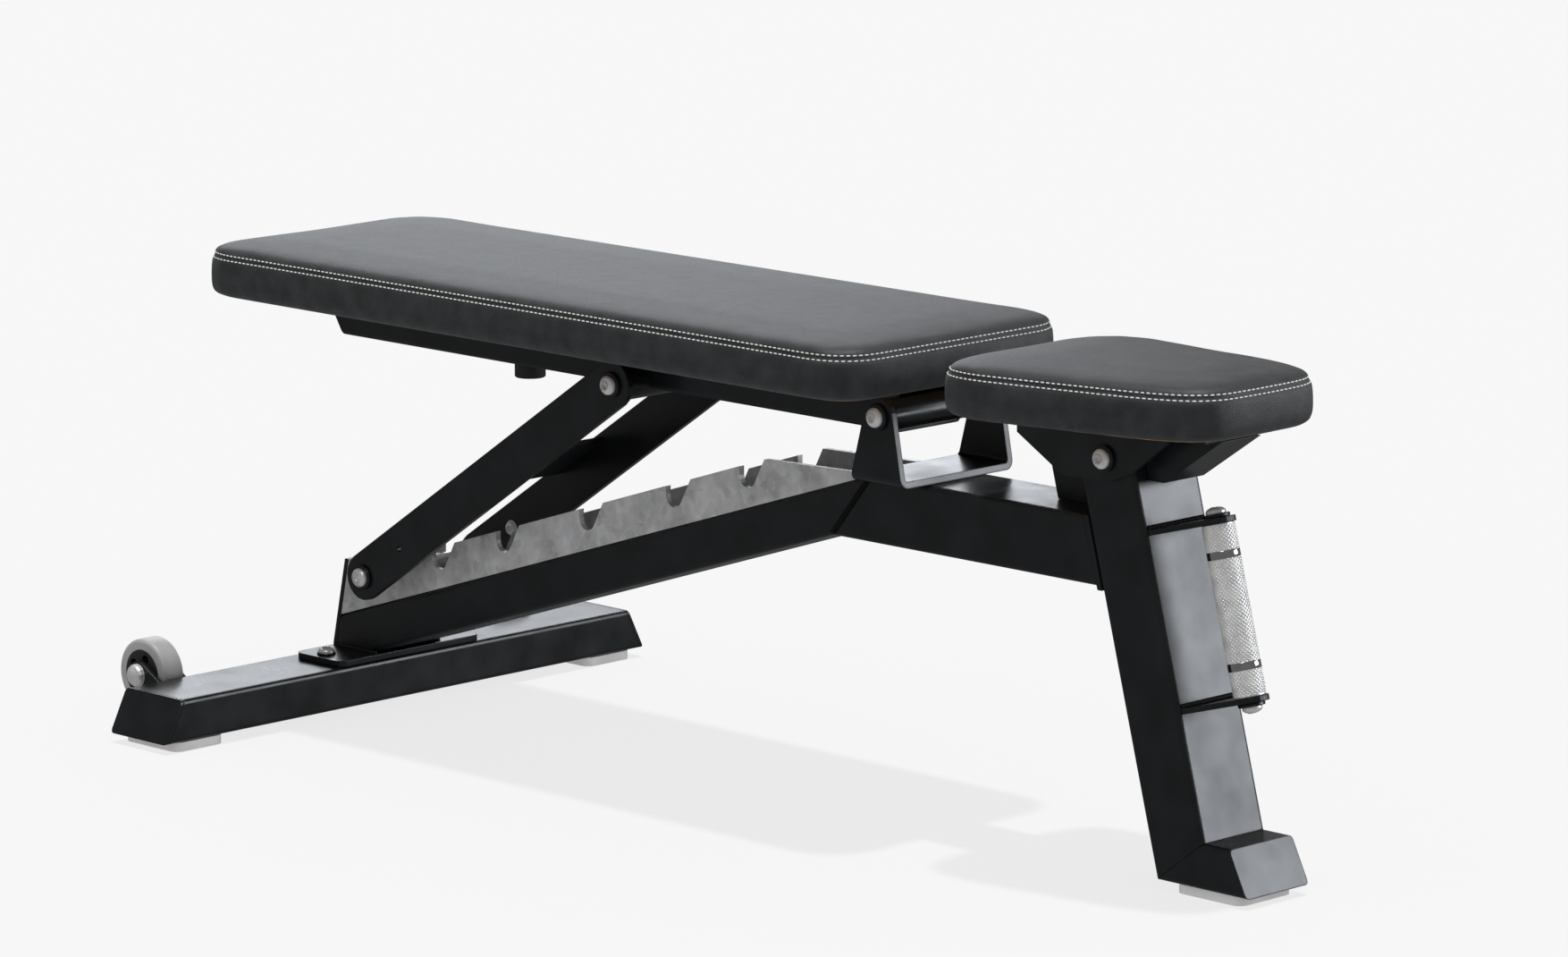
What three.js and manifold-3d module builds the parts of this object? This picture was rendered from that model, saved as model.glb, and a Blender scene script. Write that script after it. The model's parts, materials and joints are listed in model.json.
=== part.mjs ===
// Adjustable weight bench with a flat-to-upright back rest, a tilting seat and two transport wheels.
// Millimetres, +Z up, +X towards the seat end, Y across the bench. The origin is on the floor, under
// the middle of the bench.

import * as THREE from 'three';
import { mergeVertices } from 'three/addons/utils/BufferGeometryUtils.js';
import Module from 'manifold-3d';

const wasm = await Module();
wasm.setup();

// ---------------------------------------------------------------------------------------------
// Driving dimensions. X is measured from the rear face of the rear crossbar and Z from the
// underside of the steel frame.
// ---------------------------------------------------------------------------------------------

const GAP = 0.3; // between pieces that touch
const RUN = 0.3; // radial clearance of a turning fit
const CIRCLE_STEPS = 20; // sides of a full circle in an outline
const CORNER_STEPS = 12; // sides of a full circle with a small radius
const SMALL_RADIUS = 6;
const BOLT_STEPS = 14;
const WHEEL_STEPS = 28;

// Frame tubes
const TUBE_WIDTH = 80;
const TUBE_WALL = 3;
const TUBE_CORNER = 4;
const CAP_THICKNESS = 3;
const OPEN_END = 12; // how far a hollow runs on past an open end

// Rear crossbar
const CROSSBAR_LENGTH = 610;
const CROSSBAR_DEPTH = 80;
const CROSSBAR_HEIGHT = 40;
const CROSSBAR_SLANT = 20;

// Rubber feet
const FOOT_THICKNESS = 9;
const FOOT_CORNER = 9;
const REAR_FOOT_LENGTH = 59;
const REAR_FOOT_DEPTH = 75;
const REAR_FOOT_INSET = 14;
const FRONT_PAD_WIDTH = 68;
const FRONT_PAD_LENGTH = 74;
const FRONT_PAD_INSET = 12;

// Flange plate on the crossbar
const FLANGE_REAR = 14;
const FLANGE_DEPTH = 65;
const FLANGE_WIDTH = 180;
const FLANGE_THICKNESS = 5.7;
const FLANGE_BOLT_X = 43;
const FLANGE_BOLT_SPACING = 151;

// Inclined main tube and horizontal front tube
const MAIN_DEPTH = 42;
const MAIN_HEEL_X = 68;
const KNEE_X = 676.6;
const FRONT_TUBE_BOTTOM = 244;
const FRONT_TUBE_HEIGHT = 60;
const REAR_PLATE_THICKNESS = 5;
const REAR_PLATE_X = 12.8;
const REAR_PLATE_LEAN = 12; // degrees from upright

// Front post and foot
const POST_LEAN = 15; // degrees from upright
const POST_DEPTH = 61;
const POST_FRONT_X = 1127; // front face at Z 0
const JOINT_PLATE_THICKNESS = 5;
const JOINT_PLATE_OVERHANG = 3;
const FOOT_TUBE_HEIGHT = 40;
const FOOT_TUBE_FRONT = 1166;
const FOOT_TUBE_SLANT = 20;

// Ladder plates
const LADDER_THICKNESS = 6;
const LADDER_TOOTH_HEIGHT = 38;
const LADDER_STOP_HEIGHT = 49; // the rear stop and the rear plate, above the main tube
const LADDER_FRONT_GAP = 10; // short of the front tube
const LADDER_NOSE_RISE = 0.8; // front end above the front tube
const ROD_SEAT_HEIGHT = 27.2;
const ROD_SEATS_X = [95.6, 163.5, 252, 364, 478, 572];
const NOTCH_CLEARANCE = 0.95;
const NOTCH_WALL_ANGLE = 62;
const FIRST_NOTCH_WALL_ANGLE = 48;

// Back hinge
const HINGE_X = 763.8;
const HINGE_RISE = 61; // above the front tube
const HINGE_TUBE_RADIUS = 14;
const HINGE_PLATE = 6;
const HINGE_BASE_REAR = 34;
const HINGE_BASE_FRONT = 28.7;
const HINGE_WIDTH = 142;
const HINGE_BEND = 9;
const HINGE_EAR_RADIUS = 17;

// Back rest
const BEAM_WIDTH = 80;
const BEAM_HEIGHT = 40;
const BEAM_REAR = 7;
const BEAM_REAR_SLANT = 25;
const BEAM_FRONT_SETBACK = 7;
const BEAM_DROP = 18.8; // underside below the hinge axis
const PAD_HEIGHT = 48;
const PAD_EDGE = 6;
const BACK_PAD_REAR = -63.3;
const BACK_PAD_FRONT = 797.5;
const BACK_PAD_HALF_WIDTH = 147.2;
const BACK_PAD_CORNER = 46;
const BOARD_THICKNESS = 12;
const BOARD_INSET = 16;
const BUMPER_X = 247;
const BUMPER_RADIUS = 14.5;
const BUMPER_HEIGHT = 18;

// Strut
const STRUT_PIVOT_X = 433.9;
const STRUT_PIVOT_RISE = 6.7; // above the beam's underside
const STRUT_OUTER_WIDTH = 150;
const STRUT_THICKNESS = 6;
const STRUT_END_RADIUS = 22;
const STRUT_ROD_RADIUS = 9.25;
const STRUT_TUBE_RADIUS = 16;
const STRUT_HOLE_RADIUS = 3;
const STRUT_HOLE_ALONG = 61;
const CROSS_PLATE_ALONG = 153;
const CROSS_PLATE_LENGTH = 66;
const CROSS_PLATE_THICKNESS = 6;
const CROSS_PLATE_OFFSET = 13;

// Seat
const SEAT_PIVOT_SETBACK = 24.808; // behind the post's front face
const SEAT_PIVOT_RISE = 53.5; // above the front tube
const SEAT_REST_TILT = 1; // degrees, front edge up
const SEAT_TRAVEL = 20; // degrees
const SEAT_PAD_X = 1004.9;
const SEAT_PAD_HALF_LENGTH = 147.5;
const SEAT_PAD_HALF_WIDTH = 107;
const SEAT_PAD_TAPER = 0.14;
const SEAT_PAD_POWER = 4.8; // 2 is an ellipse, larger is squarer
const SEAT_PAD_STEPS = 40;
const SEAT_BRACKET_THICKNESS = 5;
const SEAT_BRACKET_CLEARANCE = 1;
const SEAT_BRACKET_HEEL = 12; // height of its rear edge
const SEAT_BRACKET_HEEL_RUN = 52;
const SEAT_BRACKET_CHIN = { x: 30, z: -10.5 }; // front corner, from the pivot
const SEAT_BRACKET_TOE = 75;
const SEAT_SLEEVE_RADIUS = 15;
const SEAT_PIVOT_EYE = 20;
const SEAT_BASE_THICKNESS = 5;
const SEAT_BASE_REAR = 905;
const SEAT_BASE_FRONT = 1117;
const SEAT_TUBE_WIDTH = 50;
const SEAT_TUBE_DROP = 18.5; // underside below the seat pivot
const SEAT_TUBE_NOSE_X = 1055;
const SEAT_TUBE_NOSE_ANGLE = 33;
const SEAT_STOP_GAP = 0.8;
const GUSSET_THICKNESS = 6;
const GUSSET_DEPTH = 68.5;
const GUSSET_HEIGHT = 38;

// Seat clamp on the far side
const CLAMP_DROP = 40; // below the seat pivot
const CLAMP_SETBACK = 7; // behind the post's centre line
const CLAMP_STUD_RADIUS = 4;
const CLAMP_SLOT_CLEARANCE = 0.8;
const CLAMP_LOBE = 13;
const KNOB_RADIUS = 14;
const KNOB_LENGTH = 14;
const KNOB_LOBES = 6;

// Handle on the post
const HANDLE_RADIUS = 14.5;
const HANDLE_BORE = 6;
const HANDLE_LENGTH = 147.7;
const HANDLE_BOTTOM = 164.1; // height of the bar's lower end
const HANDLE_OFFSET = 47.5; // axis in front of the post
const HANDLE_PLATE = 5;
const HANDLE_PLATE_BASE = 72;
const HANDLE_PLATE_TIP = 16;

// Wheels
const WHEEL_X = -35;
const WHEEL_Z = 39.5;
const WHEEL_INSET = 80.5; // wheel centre from the crossbar's end
const WHEEL_RADIUS = 33;
const WHEEL_WIDTH = 24;
const HUB_RADIUS = 23;
const HUB_WINDOWS = 5;
const HUB_WINDOW_RING = 15;
const HUB_WINDOW_RADIUS = 4.5;
const TYRE_SHOULDER = 9;
const WHEEL_ARM_THICKNESS = 5;
const WHEEL_SIDE_GAP = 0.5;
const WHEEL_ARM_EYE = 13;
const WHEEL_ARM_BASE = 27;

// Fasteners: shank radius, head radius, head height, washer radius and washer thickness
const M10 = { shank: 5, head: 8.5, rise: 6, washer: 12, washerThickness: 3 };
const M8 = { shank: 4, head: 8, rise: 5, washer: 9, washerThickness: 1.5 };
const AXLE = { shank: 5, head: 10.5, rise: 6.5, washer: 11, washerThickness: 1 };
const BOLT_REACH = 30; // shank length inside a tube
const BUTTON_RIM = 0.35; // share of a button head's height that is upright
const BUTTON_STEPS = 3;
const NUT_RADIUS = 9;
const NUT_HEIGHT = 8;

// ---------------------------------------------------------------------------------------------
// Places worked out from the driving dimensions
// ---------------------------------------------------------------------------------------------

const radians = THREE.MathUtils.degToRad;
const HALF_TUBE = TUBE_WIDTH / 2;

const flangeBottom = CROSSBAR_HEIGHT + GAP;
const flangeTop = flangeBottom + FLANGE_THICKNESS;
const frontTubeTop = FRONT_TUBE_BOTTOM + FRONT_TUBE_HEIGHT;

const mainSlope = Math.atan2(FRONT_TUBE_BOTTOM - flangeTop, KNEE_X - MAIN_HEEL_X);
const mainBottom = (x) => flangeTop + (x - MAIN_HEEL_X) * Math.tan(mainSlope);
const aboveMain = (x, height) => mainBottom(x) + (MAIN_DEPTH + height) / Math.cos(mainSlope);
const mainTop = (x) => aboveMain(x, 0);
const kneeTopX = MAIN_HEEL_X
  + (frontTubeTop - flangeTop - MAIN_DEPTH / Math.cos(mainSlope)) / Math.tan(mainSlope);

const rearPlateX = (z) => REAR_PLATE_X + (z - flangeTop) * Math.tan(radians(REAR_PLATE_LEAN));
const rearPlateFrontX = (z) => rearPlateX(z) + REAR_PLATE_THICKNESS / Math.cos(radians(REAR_PLATE_LEAN));

// Where the rear plate's front face reaches a height above the main tube.
function rearPlateMeets(height) {
  const slope = Math.tan(mainSlope);
  const lean = Math.tan(radians(REAR_PLATE_LEAN));
  const z = (aboveMain(0, height) + slope * rearPlateFrontX(0)) / (1 - slope * lean);
  return { x: rearPlateFrontX(z), z };
}

const postFrontX = (z) => POST_FRONT_X - z * Math.tan(radians(POST_LEAN));
const postRearX = (z) => postFrontX(z) - POST_DEPTH / Math.cos(radians(POST_LEAN));
const jointPlateX = (z) => postRearX(z) - GAP - JOINT_PLATE_THICKNESS / Math.cos(radians(POST_LEAN));

const hinge = { x: HINGE_X, z: frontTubeTop + HINGE_RISE };
const beamBottom = hinge.z - BEAM_DROP;
const beamTop = beamBottom + BEAM_HEIGHT;
const padBottom = beamTop + GAP;

const strutPivot = { x: STRUT_PIVOT_X, z: beamBottom + STRUT_PIVOT_RISE };
const rodSeats = ROD_SEATS_X.map((x) => ({ x, z: aboveMain(x, ROD_SEAT_HEIGHT) }));
const strutRod = rodSeats[0];
const strutAngle = Math.atan2(strutPivot.z - strutRod.z, strutPivot.x - strutRod.x);
const strutInner = STRUT_OUTER_WIDTH / 2 - STRUT_THICKNESS;

const seatPivotZ = frontTubeTop + SEAT_PIVOT_RISE;
const seatPivot = { x: postFrontX(seatPivotZ) - SEAT_PIVOT_SETBACK, z: seatPivotZ };
const seatBaseBottom = padBottom - GAP - SEAT_BASE_THICKNESS;
const seatBracketInner = HALF_TUBE + SEAT_BRACKET_CLEARANCE;
const seatBracketOuter = seatBracketInner + SEAT_BRACKET_THICKNESS;
const clampZ = seatPivot.z - CLAMP_DROP;
const clamp = { x: (postFrontX(clampZ) + postRearX(clampZ)) / 2 - CLAMP_SETBACK, z: clampZ };

const wheelY = CROSSBAR_LENGTH / 2 - WHEEL_INSET;
const bedX = (WHEEL_X - WHEEL_RADIUS + FOOT_TUBE_FRONT) / 2; // middle of the whole length

// ---------------------------------------------------------------------------------------------
// Materials
// ---------------------------------------------------------------------------------------------

const finish = (color, roughness, metalness) => () =>
  new THREE.MeshStandardMaterial({ color, roughness, metalness });

const blackCoat = finish(0x1b1d20, 0.45, 0.3);
const zincPlate = finish(0x9ba0a8, 0.4, 0.9);
const brightSteel = finish(0xc9cbce, 0.25, 1);
const leatherette = finish(0x1d1e20, 0.55, 0);
const blackRubber = finish(0x151515, 0.8, 0);
const clearRubber = finish(0xe4e6e8, 0.5, 0);
const blackPlastic = finish(0x17181a, 0.5, 0);
const plywood = finish(0x8f7350, 0.8, 0);

// ---------------------------------------------------------------------------------------------
// Shape helpers
// ---------------------------------------------------------------------------------------------

// A closed geometry as a manifold solid, for joins and cuts.
function solid(geometry) {
  const bare = geometry.clone();
  bare.deleteAttribute('normal');
  bare.deleteAttribute('uv');
  const merged = mergeVertices(bare, 1e-4);
  return new wasm.Manifold(new wasm.Mesh({
    numProp: 3,
    vertProperties: new Float32Array(merged.attributes.position.array),
    triVerts: new Uint32Array(merged.index.array),
  }));
}

// A manifold solid as a three.js geometry.
function geometryOf(shape) {
  const { numProp, vertProperties, triVerts } = shape.getMesh();
  const positions = new Float32Array((vertProperties.length / numProp) * 3);
  for (let i = 0; i < positions.length / 3; i += 1) {
    positions.set(vertProperties.subarray(i * numProp, i * numProp + 3), i * 3);
  }
  const geometry = new THREE.BufferGeometry();
  geometry.setAttribute('position', new THREE.BufferAttribute(positions, 3));
  geometry.setIndex(new THREE.BufferAttribute(new Uint32Array(triVerts), 1));
  geometry.computeVertexNormals();
  return geometry;
}

// A named sub-part from a geometry or a manifold solid.
function piece(name, shape, material) {
  const geometry = shape.isBufferGeometry ? shape : geometryOf(shape);
  const mesh = new THREE.Mesh(geometry, material());
  mesh.name = name;
  return mesh;
}

// The outline that wraps a set of discs [x, y, radius]; a disc of radius 0 is a sharp corner.
function wrap(discs) {
  const points = discs.flatMap(([x, y, radius]) => {
    const round = radius < SMALL_RADIUS ? CORNER_STEPS : CIRCLE_STEPS;
    const count = radius > 0 ? round : 1;
    return Array.from({ length: count }, (_, i) => {
      const angle = (2 * Math.PI * i) / count;
      return [x + radius * Math.cos(angle), y + radius * Math.sin(angle)];
    });
  }).sort((a, b) => a[0] - b[0] || a[1] - b[1]);
  const turn = (a, b, c) => (b[0] - a[0]) * (c[1] - a[1]) - (b[1] - a[1]) * (c[0] - a[0]);
  const chain = (list) => {
    const side = [];
    for (const point of list) {
      while (side.length > 1 && turn(side.at(-2), side.at(-1), point) <= 1e-6) side.pop();
      side.push(point);
    }
    return side.slice(0, -1);
  };
  return [...chain(points), ...chain([...points].reverse())];
}

const shapeOf = (points) => new THREE.Shape(points.map(([x, y]) => new THREE.Vector2(x, y)));

function addHole(shape, x, y, radius, steps = CIRCLE_STEPS) {
  const hole = new THREE.Path();
  for (let i = 0; i <= steps; i += 1) {
    const angle = (-2 * Math.PI * i) / steps;
    const point = [x + radius * Math.cos(angle), y + radius * Math.sin(angle)];
    if (i === 0) hole.moveTo(...point);
    else if (i < steps) hole.lineTo(...point);
    else hole.closePath();
  }
  shape.holes.push(hole);
  return shape;
}

const asShape = (outline) => (Array.isArray(outline) ? shapeOf(outline) : outline);

// An outline in X and Z, extruded across the bench from Y from to Y to.
function sidePrism(outline, from, to) {
  const geometry = new THREE.ExtrudeGeometry(asShape(outline), { depth: to - from, bevelEnabled: false });
  return geometry.rotateX(Math.PI / 2).translate(0, to, 0);
}

// An outline in Y and Z, extruded along the bench from X from to X to.
function frontPrism(outline, from, to) {
  const geometry = new THREE.ExtrudeGeometry(asShape(outline), { depth: to - from, bevelEnabled: false });
  const axes = new THREE.Matrix4().makeBasis(
    new THREE.Vector3(0, 1, 0),
    new THREE.Vector3(0, 0, 1),
    new THREE.Vector3(1, 0, 0),
  );
  return geometry.applyMatrix4(axes).translate(from, 0, 0);
}

// An outline in X and Y, extruded up from Z from to Z to.
function flatPrism(outline, from, to) {
  const geometry = new THREE.ExtrudeGeometry(asShape(outline), { depth: to - from, bevelEnabled: false });
  return geometry.translate(0, 0, from);
}

// A section (first axis across the bench, second to the left of the direction of travel), extruded
// from a point of the side plane along a direction of that plane.
function slantPrism(outline, start, angle, length) {
  const geometry = new THREE.ExtrudeGeometry(asShape(outline), { depth: length, bevelEnabled: false });
  const axes = new THREE.Matrix4().makeBasis(
    new THREE.Vector3(0, 1, 0),
    new THREE.Vector3(-Math.sin(angle), 0, Math.cos(angle)),
    new THREE.Vector3(Math.cos(angle), 0, Math.sin(angle)),
  );
  return geometry.applyMatrix4(axes).translate(start.x, 0, start.z);
}

// A regular polygon round the origin.
function polygon(sides, radius) {
  return Array.from({ length: sides }, (_, i) => {
    const angle = (2 * Math.PI * i) / sides;
    return [radius * Math.cos(angle), radius * Math.sin(angle)];
  });
}

// A rectangle with rounded corners, given by its two opposite corners.
function roundedBox(left, bottom, right, top, radius) {
  const corners = [];
  for (const x of [left + radius, right - radius]) {
    for (const y of [bottom + radius, top - radius]) corners.push([x, y, radius]);
  }
  return wrap(corners);
}

// A convex anticlockwise outline with every side moved inwards by a distance.
function inset(outline, distance) {
  const sides = outline.map(([x, y], i) => {
    const [nextX, nextY] = outline[(i + 1) % outline.length];
    const length = Math.hypot(nextX - x, nextY - y);
    const dx = (nextX - x) / length;
    const dy = (nextY - y) / length;
    return { x: x - dy * distance, y: y + dx * distance, dx, dy };
  });
  return sides.map((side, i) => {
    const last = sides.at(i - 1);
    const turn = last.dx * side.dy - last.dy * side.dx;
    const run = ((side.x - last.x) * side.dy - (side.y - last.y) * side.dx) / turn;
    return [last.x + last.dx * run, last.y + last.dy * run];
  });
}

// The section of a box tube whose underside is on the first axis, solid or hollow.
function boxTube(width, height, wall) {
  const shape = shapeOf(roundedBox(-width / 2, 0, width / 2, height, TUBE_CORNER));
  if (wall > 0) {
    shape.holes.push(shapeOf([
      [-width / 2 + wall, wall],
      [-width / 2 + wall, height - wall],
      [width / 2 - wall, height - wall],
      [width / 2 - wall, wall],
    ]));
  }
  return shape;
}

// A round bar or tube across the bench, centred on Y 0.
function crossBar(centre, radius, length, bore = 0) {
  const shape = shapeOf(wrap([[centre.x, centre.z, radius]]));
  if (bore > 0) addHole(shape, centre.x, centre.z, bore);
  return sidePrism(shape, -length / 2, length / 2);
}

const sideCut = (outline) => solid(sidePrism(outline, -CROSSBAR_LENGTH, CROSSBAR_LENGTH));

// A button-head bolt on its washer. It stands on the X-Z plane with its head towards +Y, and its
// shank reaches back towards -Y.
function buttonBolt(size, reach) {
  const { shank, head, rise, washer, washerThickness } = size;
  const rim = rise * BUTTON_RIM;
  const crown = Array.from({ length: BUTTON_STEPS }, (_, i) => {
    const angle = (Math.PI / 2) * (i / BUTTON_STEPS);
    return new THREE.Vector2(
      head * Math.cos(angle),
      washerThickness + rim + (rise - rim) * Math.sin(angle),
    );
  });
  const profile = [
    new THREE.Vector2(0, -reach),
    new THREE.Vector2(shank, -reach),
    new THREE.Vector2(shank, 0),
    new THREE.Vector2(washer, 0),
    new THREE.Vector2(washer, washerThickness),
    new THREE.Vector2(head, washerThickness),
    ...crown,
    new THREE.Vector2(0, washerThickness + rise),
  ];
  return new THREE.LatheGeometry(profile, BOLT_STEPS);
}

// A bolt in the side of the bench: side is +1 for the left (+Y) side and -1 for the right.
function sideBolt(name, size, centre, face, side, reach) {
  const bolt = piece(name, buttonBolt(size, reach), brightSteel);
  bolt.rotation.x = side > 0 ? 0 : Math.PI;
  bolt.position.set(centre.x, side * (face + GAP), centre.z);
  return bolt;
}

const SIDES = [['left', 1], ['right', -1]];

// The two Y limits of a plate between inner and outer on one side, in rising order.
const span = (side, inner, outer) => (side > 0 ? [inner, outer] : [-outer, -inner]);

// ---------------------------------------------------------------------------------------------
// Frame
// ---------------------------------------------------------------------------------------------

function rearCrossbar() {
  const group = new THREE.Group();
  const half = CROSSBAR_LENGTH / 2;
  const tube = (wall) => {
    const section = boxTube(CROSSBAR_DEPTH, CROSSBAR_HEIGHT, wall);
    const geometry = new THREE.ExtrudeGeometry(section, { depth: CROSSBAR_LENGTH, bevelEnabled: false });
    return solid(geometry.rotateX(Math.PI / 2).translate(CROSSBAR_DEPTH / 2, half, 0));
  };
  const capWidth = CAP_THICKNESS * Math.hypot(1, CROSSBAR_SLANT / CROSSBAR_HEIGHT);
  const slanted = (margin) => frontPrism([
    [-half + margin, 0],
    [half - margin, 0],
    [half - margin - CROSSBAR_SLANT, CROSSBAR_HEIGHT],
    [-half + margin + CROSSBAR_SLANT, CROSSBAR_HEIGHT],
  ], -GAP, CROSSBAR_DEPTH + GAP);
  group.add(piece('rear_crossbar', tube(TUBE_WALL).intersect(solid(slanted(capWidth + GAP))), blackCoat));
  const ends = tube(0).intersect(solid(slanted(0))).subtract(solid(slanted(capWidth)));
  for (const [label, side] of SIDES) {
    const [from, to] = span(side, 0, half + GAP);
    const halfSpace = solid(flatPrism([[-GAP, from], [CROSSBAR_DEPTH + GAP, from],
      [CROSSBAR_DEPTH + GAP, to], [-GAP, to]], -GAP, CROSSBAR_HEIGHT + GAP));
    group.add(piece(`crossbar_cap_${label}`, ends.intersect(halfSpace), blackCoat));
  }
  return group;
}

function rubberFeet() {
  const group = new THREE.Group();
  const rearFrom = (CROSSBAR_DEPTH - REAR_FOOT_DEPTH) / 2;
  for (const [label, side] of SIDES) {
    const outer = CROSSBAR_LENGTH / 2 - REAR_FOOT_INSET;
    const [from, to] = span(side, outer - REAR_FOOT_LENGTH, outer);
    const outline = roundedBox(rearFrom, from, rearFrom + REAR_FOOT_DEPTH, to, FOOT_CORNER);
    group.add(piece(`rear_foot_${label}`, flatPrism(outline, -FOOT_THICKNESS, -GAP), clearRubber));
  }
  const front = FOOT_TUBE_FRONT - FRONT_PAD_INSET;
  const outline = roundedBox(front - FRONT_PAD_LENGTH, -FRONT_PAD_WIDTH / 2, front,
    FRONT_PAD_WIDTH / 2, FOOT_CORNER);
  group.add(piece('front_foot_pad', flatPrism(outline, -FOOT_THICKNESS, -GAP), clearRubber));
  return group;
}

function flange() {
  const group = new THREE.Group();
  const outline = shapeOf(roundedBox(FLANGE_REAR, -FLANGE_WIDTH / 2, FLANGE_REAR + FLANGE_DEPTH,
    FLANGE_WIDTH / 2, FOOT_CORNER));
  for (const [, side] of SIDES) {
    addHole(outline, FLANGE_BOLT_X, (side * FLANGE_BOLT_SPACING) / 2, M8.shank + GAP, 12);
  }
  group.add(piece('flange_plate', flatPrism(outline, flangeBottom, flangeTop), blackCoat));
  for (const [label, side] of SIDES) {
    const bolt = piece(`flange_bolt_${label}`, buttonBolt(M8, FLANGE_THICKNESS), brightSteel);
    bolt.rotation.x = Math.PI / 2;
    bolt.position.set(FLANGE_BOLT_X, (side * FLANGE_BOLT_SPACING) / 2, flangeTop + GAP);
    group.add(bolt);
  }
  return group;
}

function mainTubes() {
  const group = new THREE.Group();
  const seat = flangeTop + GAP;
  const kneeLean = (kneeTopX - KNEE_X) / FRONT_TUBE_HEIGHT;
  const kneeX = (z) => KNEE_X + (z - FRONT_TUBE_BOTTOM) * kneeLean;
  const low = seat;
  const high = frontTubeTop + MAIN_DEPTH;

  const rearTrim = sideCut([
    [rearPlateFrontX(low) + GAP, low],
    [kneeX(low) - GAP, low],
    [kneeX(high) - GAP, high],
    [rearPlateFrontX(high) + GAP, high],
  ]);
  const start = { x: 0, z: mainBottom(0) };
  const length = (kneeX(high) + MAIN_DEPTH) / Math.cos(mainSlope);
  const inclined = solid(slantPrism(boxTube(TUBE_WIDTH, MAIN_DEPTH, TUBE_WALL), start, mainSlope, length));
  group.add(piece('main_tube_rear', inclined.intersect(rearTrim), blackCoat));

  const frontTrim = sideCut([
    [kneeX(low) + GAP, low],
    [jointPlateX(low) - GAP, low],
    [jointPlateX(high) - GAP, high],
    [kneeX(high) + GAP, high],
  ]);
  const level = solid(slantPrism(boxTube(TUBE_WIDTH, FRONT_TUBE_HEIGHT, TUBE_WALL),
    { x: 0, z: FRONT_TUBE_BOTTOM }, 0, POST_FRONT_X));
  group.add(piece('main_tube_front', level.intersect(frontTrim), blackCoat));

  const plateTop = rearPlateMeets(LADDER_STOP_HEIGHT);
  group.add(piece('rear_end_plate', sidePrism([
    [rearPlateX(low), low],
    [rearPlateFrontX(low), low],
    [plateTop.x, plateTop.z],
    [rearPlateX(plateTop.z), plateTop.z],
  ], -HALF_TUBE, HALF_TUBE), blackCoat));

  const plateBottom = FRONT_TUBE_BOTTOM - JOINT_PLATE_OVERHANG;
  group.add(piece('post_joint_plate', sidePrism([
    [jointPlateX(plateBottom), plateBottom],
    [postRearX(plateBottom) - GAP, plateBottom],
    [postRearX(frontTubeTop) - GAP, frontTubeTop],
    [jointPlateX(frontTubeTop), frontTubeTop],
  ], -HALF_TUBE, HALF_TUBE), blackCoat));
  return group;
}

// The clamp's threaded hole in the left wall of the post.
const clampBore = (radius) => solid(sidePrism(wrap([[clamp.x, clamp.z, radius]]), 0, TUBE_WIDTH));

function frontPost() {
  const group = new THREE.Group();
  const lean = radians(POST_LEAN);
  const mitreLean = (postFrontX(FOOT_TUBE_HEIGHT) - postRearX(0)) / FOOT_TUBE_HEIGHT;
  const mitreX = (z) => postRearX(0) + z * mitreLean;
  const reach = CROSSBAR_LENGTH;

  const below = -FOOT_TUBE_HEIGHT;
  const above = FOOT_TUBE_HEIGHT * 2;
  const postTrim = sideCut([
    [mitreX(below) - GAP, below],
    [mitreX(above) - GAP, above],
    [mitreX(above) - GAP, seatPivot.z],
    [mitreX(below) - reach, seatPivot.z],
    [mitreX(below) - reach, below],
  ]);
  // The travel direction points up the post, so the section's second axis points to its rear.
  const start = { x: postFrontX(below), z: below };
  const section = boxTube(TUBE_WIDTH, POST_DEPTH, TUBE_WALL);
  const post = solid(slantPrism(section, start, Math.PI / 2 + lean, reach))
    .intersect(postTrim)
    .subtract(solid(crossBar(seatPivot, SEAT_SLEEVE_RADIUS + GAP, 2 * TUBE_WIDTH)))
    .subtract(clampBore(CLAMP_STUD_RADIUS + GAP));
  group.add(piece('front_post', post, blackCoat));

  const sleeve = crossBar(seatPivot, SEAT_SLEEVE_RADIUS, TUBE_WIDTH, M10.shank + RUN);
  group.add(piece('seat_hinge_sleeve', sleeve, blackCoat));

  // The foot is open at the mitre and closed by its slanted front plate.
  const footOutline = (back) => [
    [mitreX(0) + GAP - back, 0],
    [FOOT_TUBE_FRONT, 0],
    [FOOT_TUBE_FRONT - FOOT_TUBE_SLANT, FOOT_TUBE_HEIGHT],
    [mitreX(FOOT_TUBE_HEIGHT) + GAP - back, FOOT_TUBE_HEIGHT],
  ];
  const footTube = solid(slantPrism(boxTube(TUBE_WIDTH, FOOT_TUBE_HEIGHT, 0),
    { x: mitreX(0), z: 0 }, 0, FOOT_TUBE_FRONT - mitreX(0)));
  const hollow = inset(footOutline(OPEN_END), TUBE_WALL);
  const foot = footTube
    .intersect(sideCut(footOutline(0)))
    .subtract(solid(sidePrism(hollow, -HALF_TUBE + TUBE_WALL, HALF_TUBE - TUBE_WALL)));
  group.add(piece('front_foot', foot, blackCoat));

  const low = frontTubeTop + GAP;
  const high = low + GUSSET_HEIGHT;
  group.add(piece('seat_gusset', sidePrism([
    [postRearX(low) - GUSSET_DEPTH, low],
    [postRearX(low) - GAP, low],
    [postRearX(high) - GAP, high],
    [postRearX(high) - GUSSET_DEPTH, high],
  ], -GUSSET_THICKNESS / 2, GUSSET_THICKNESS / 2), blackCoat));
  return group;
}

// ---------------------------------------------------------------------------------------------
// Ladder for the strut rod
// ---------------------------------------------------------------------------------------------

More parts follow.
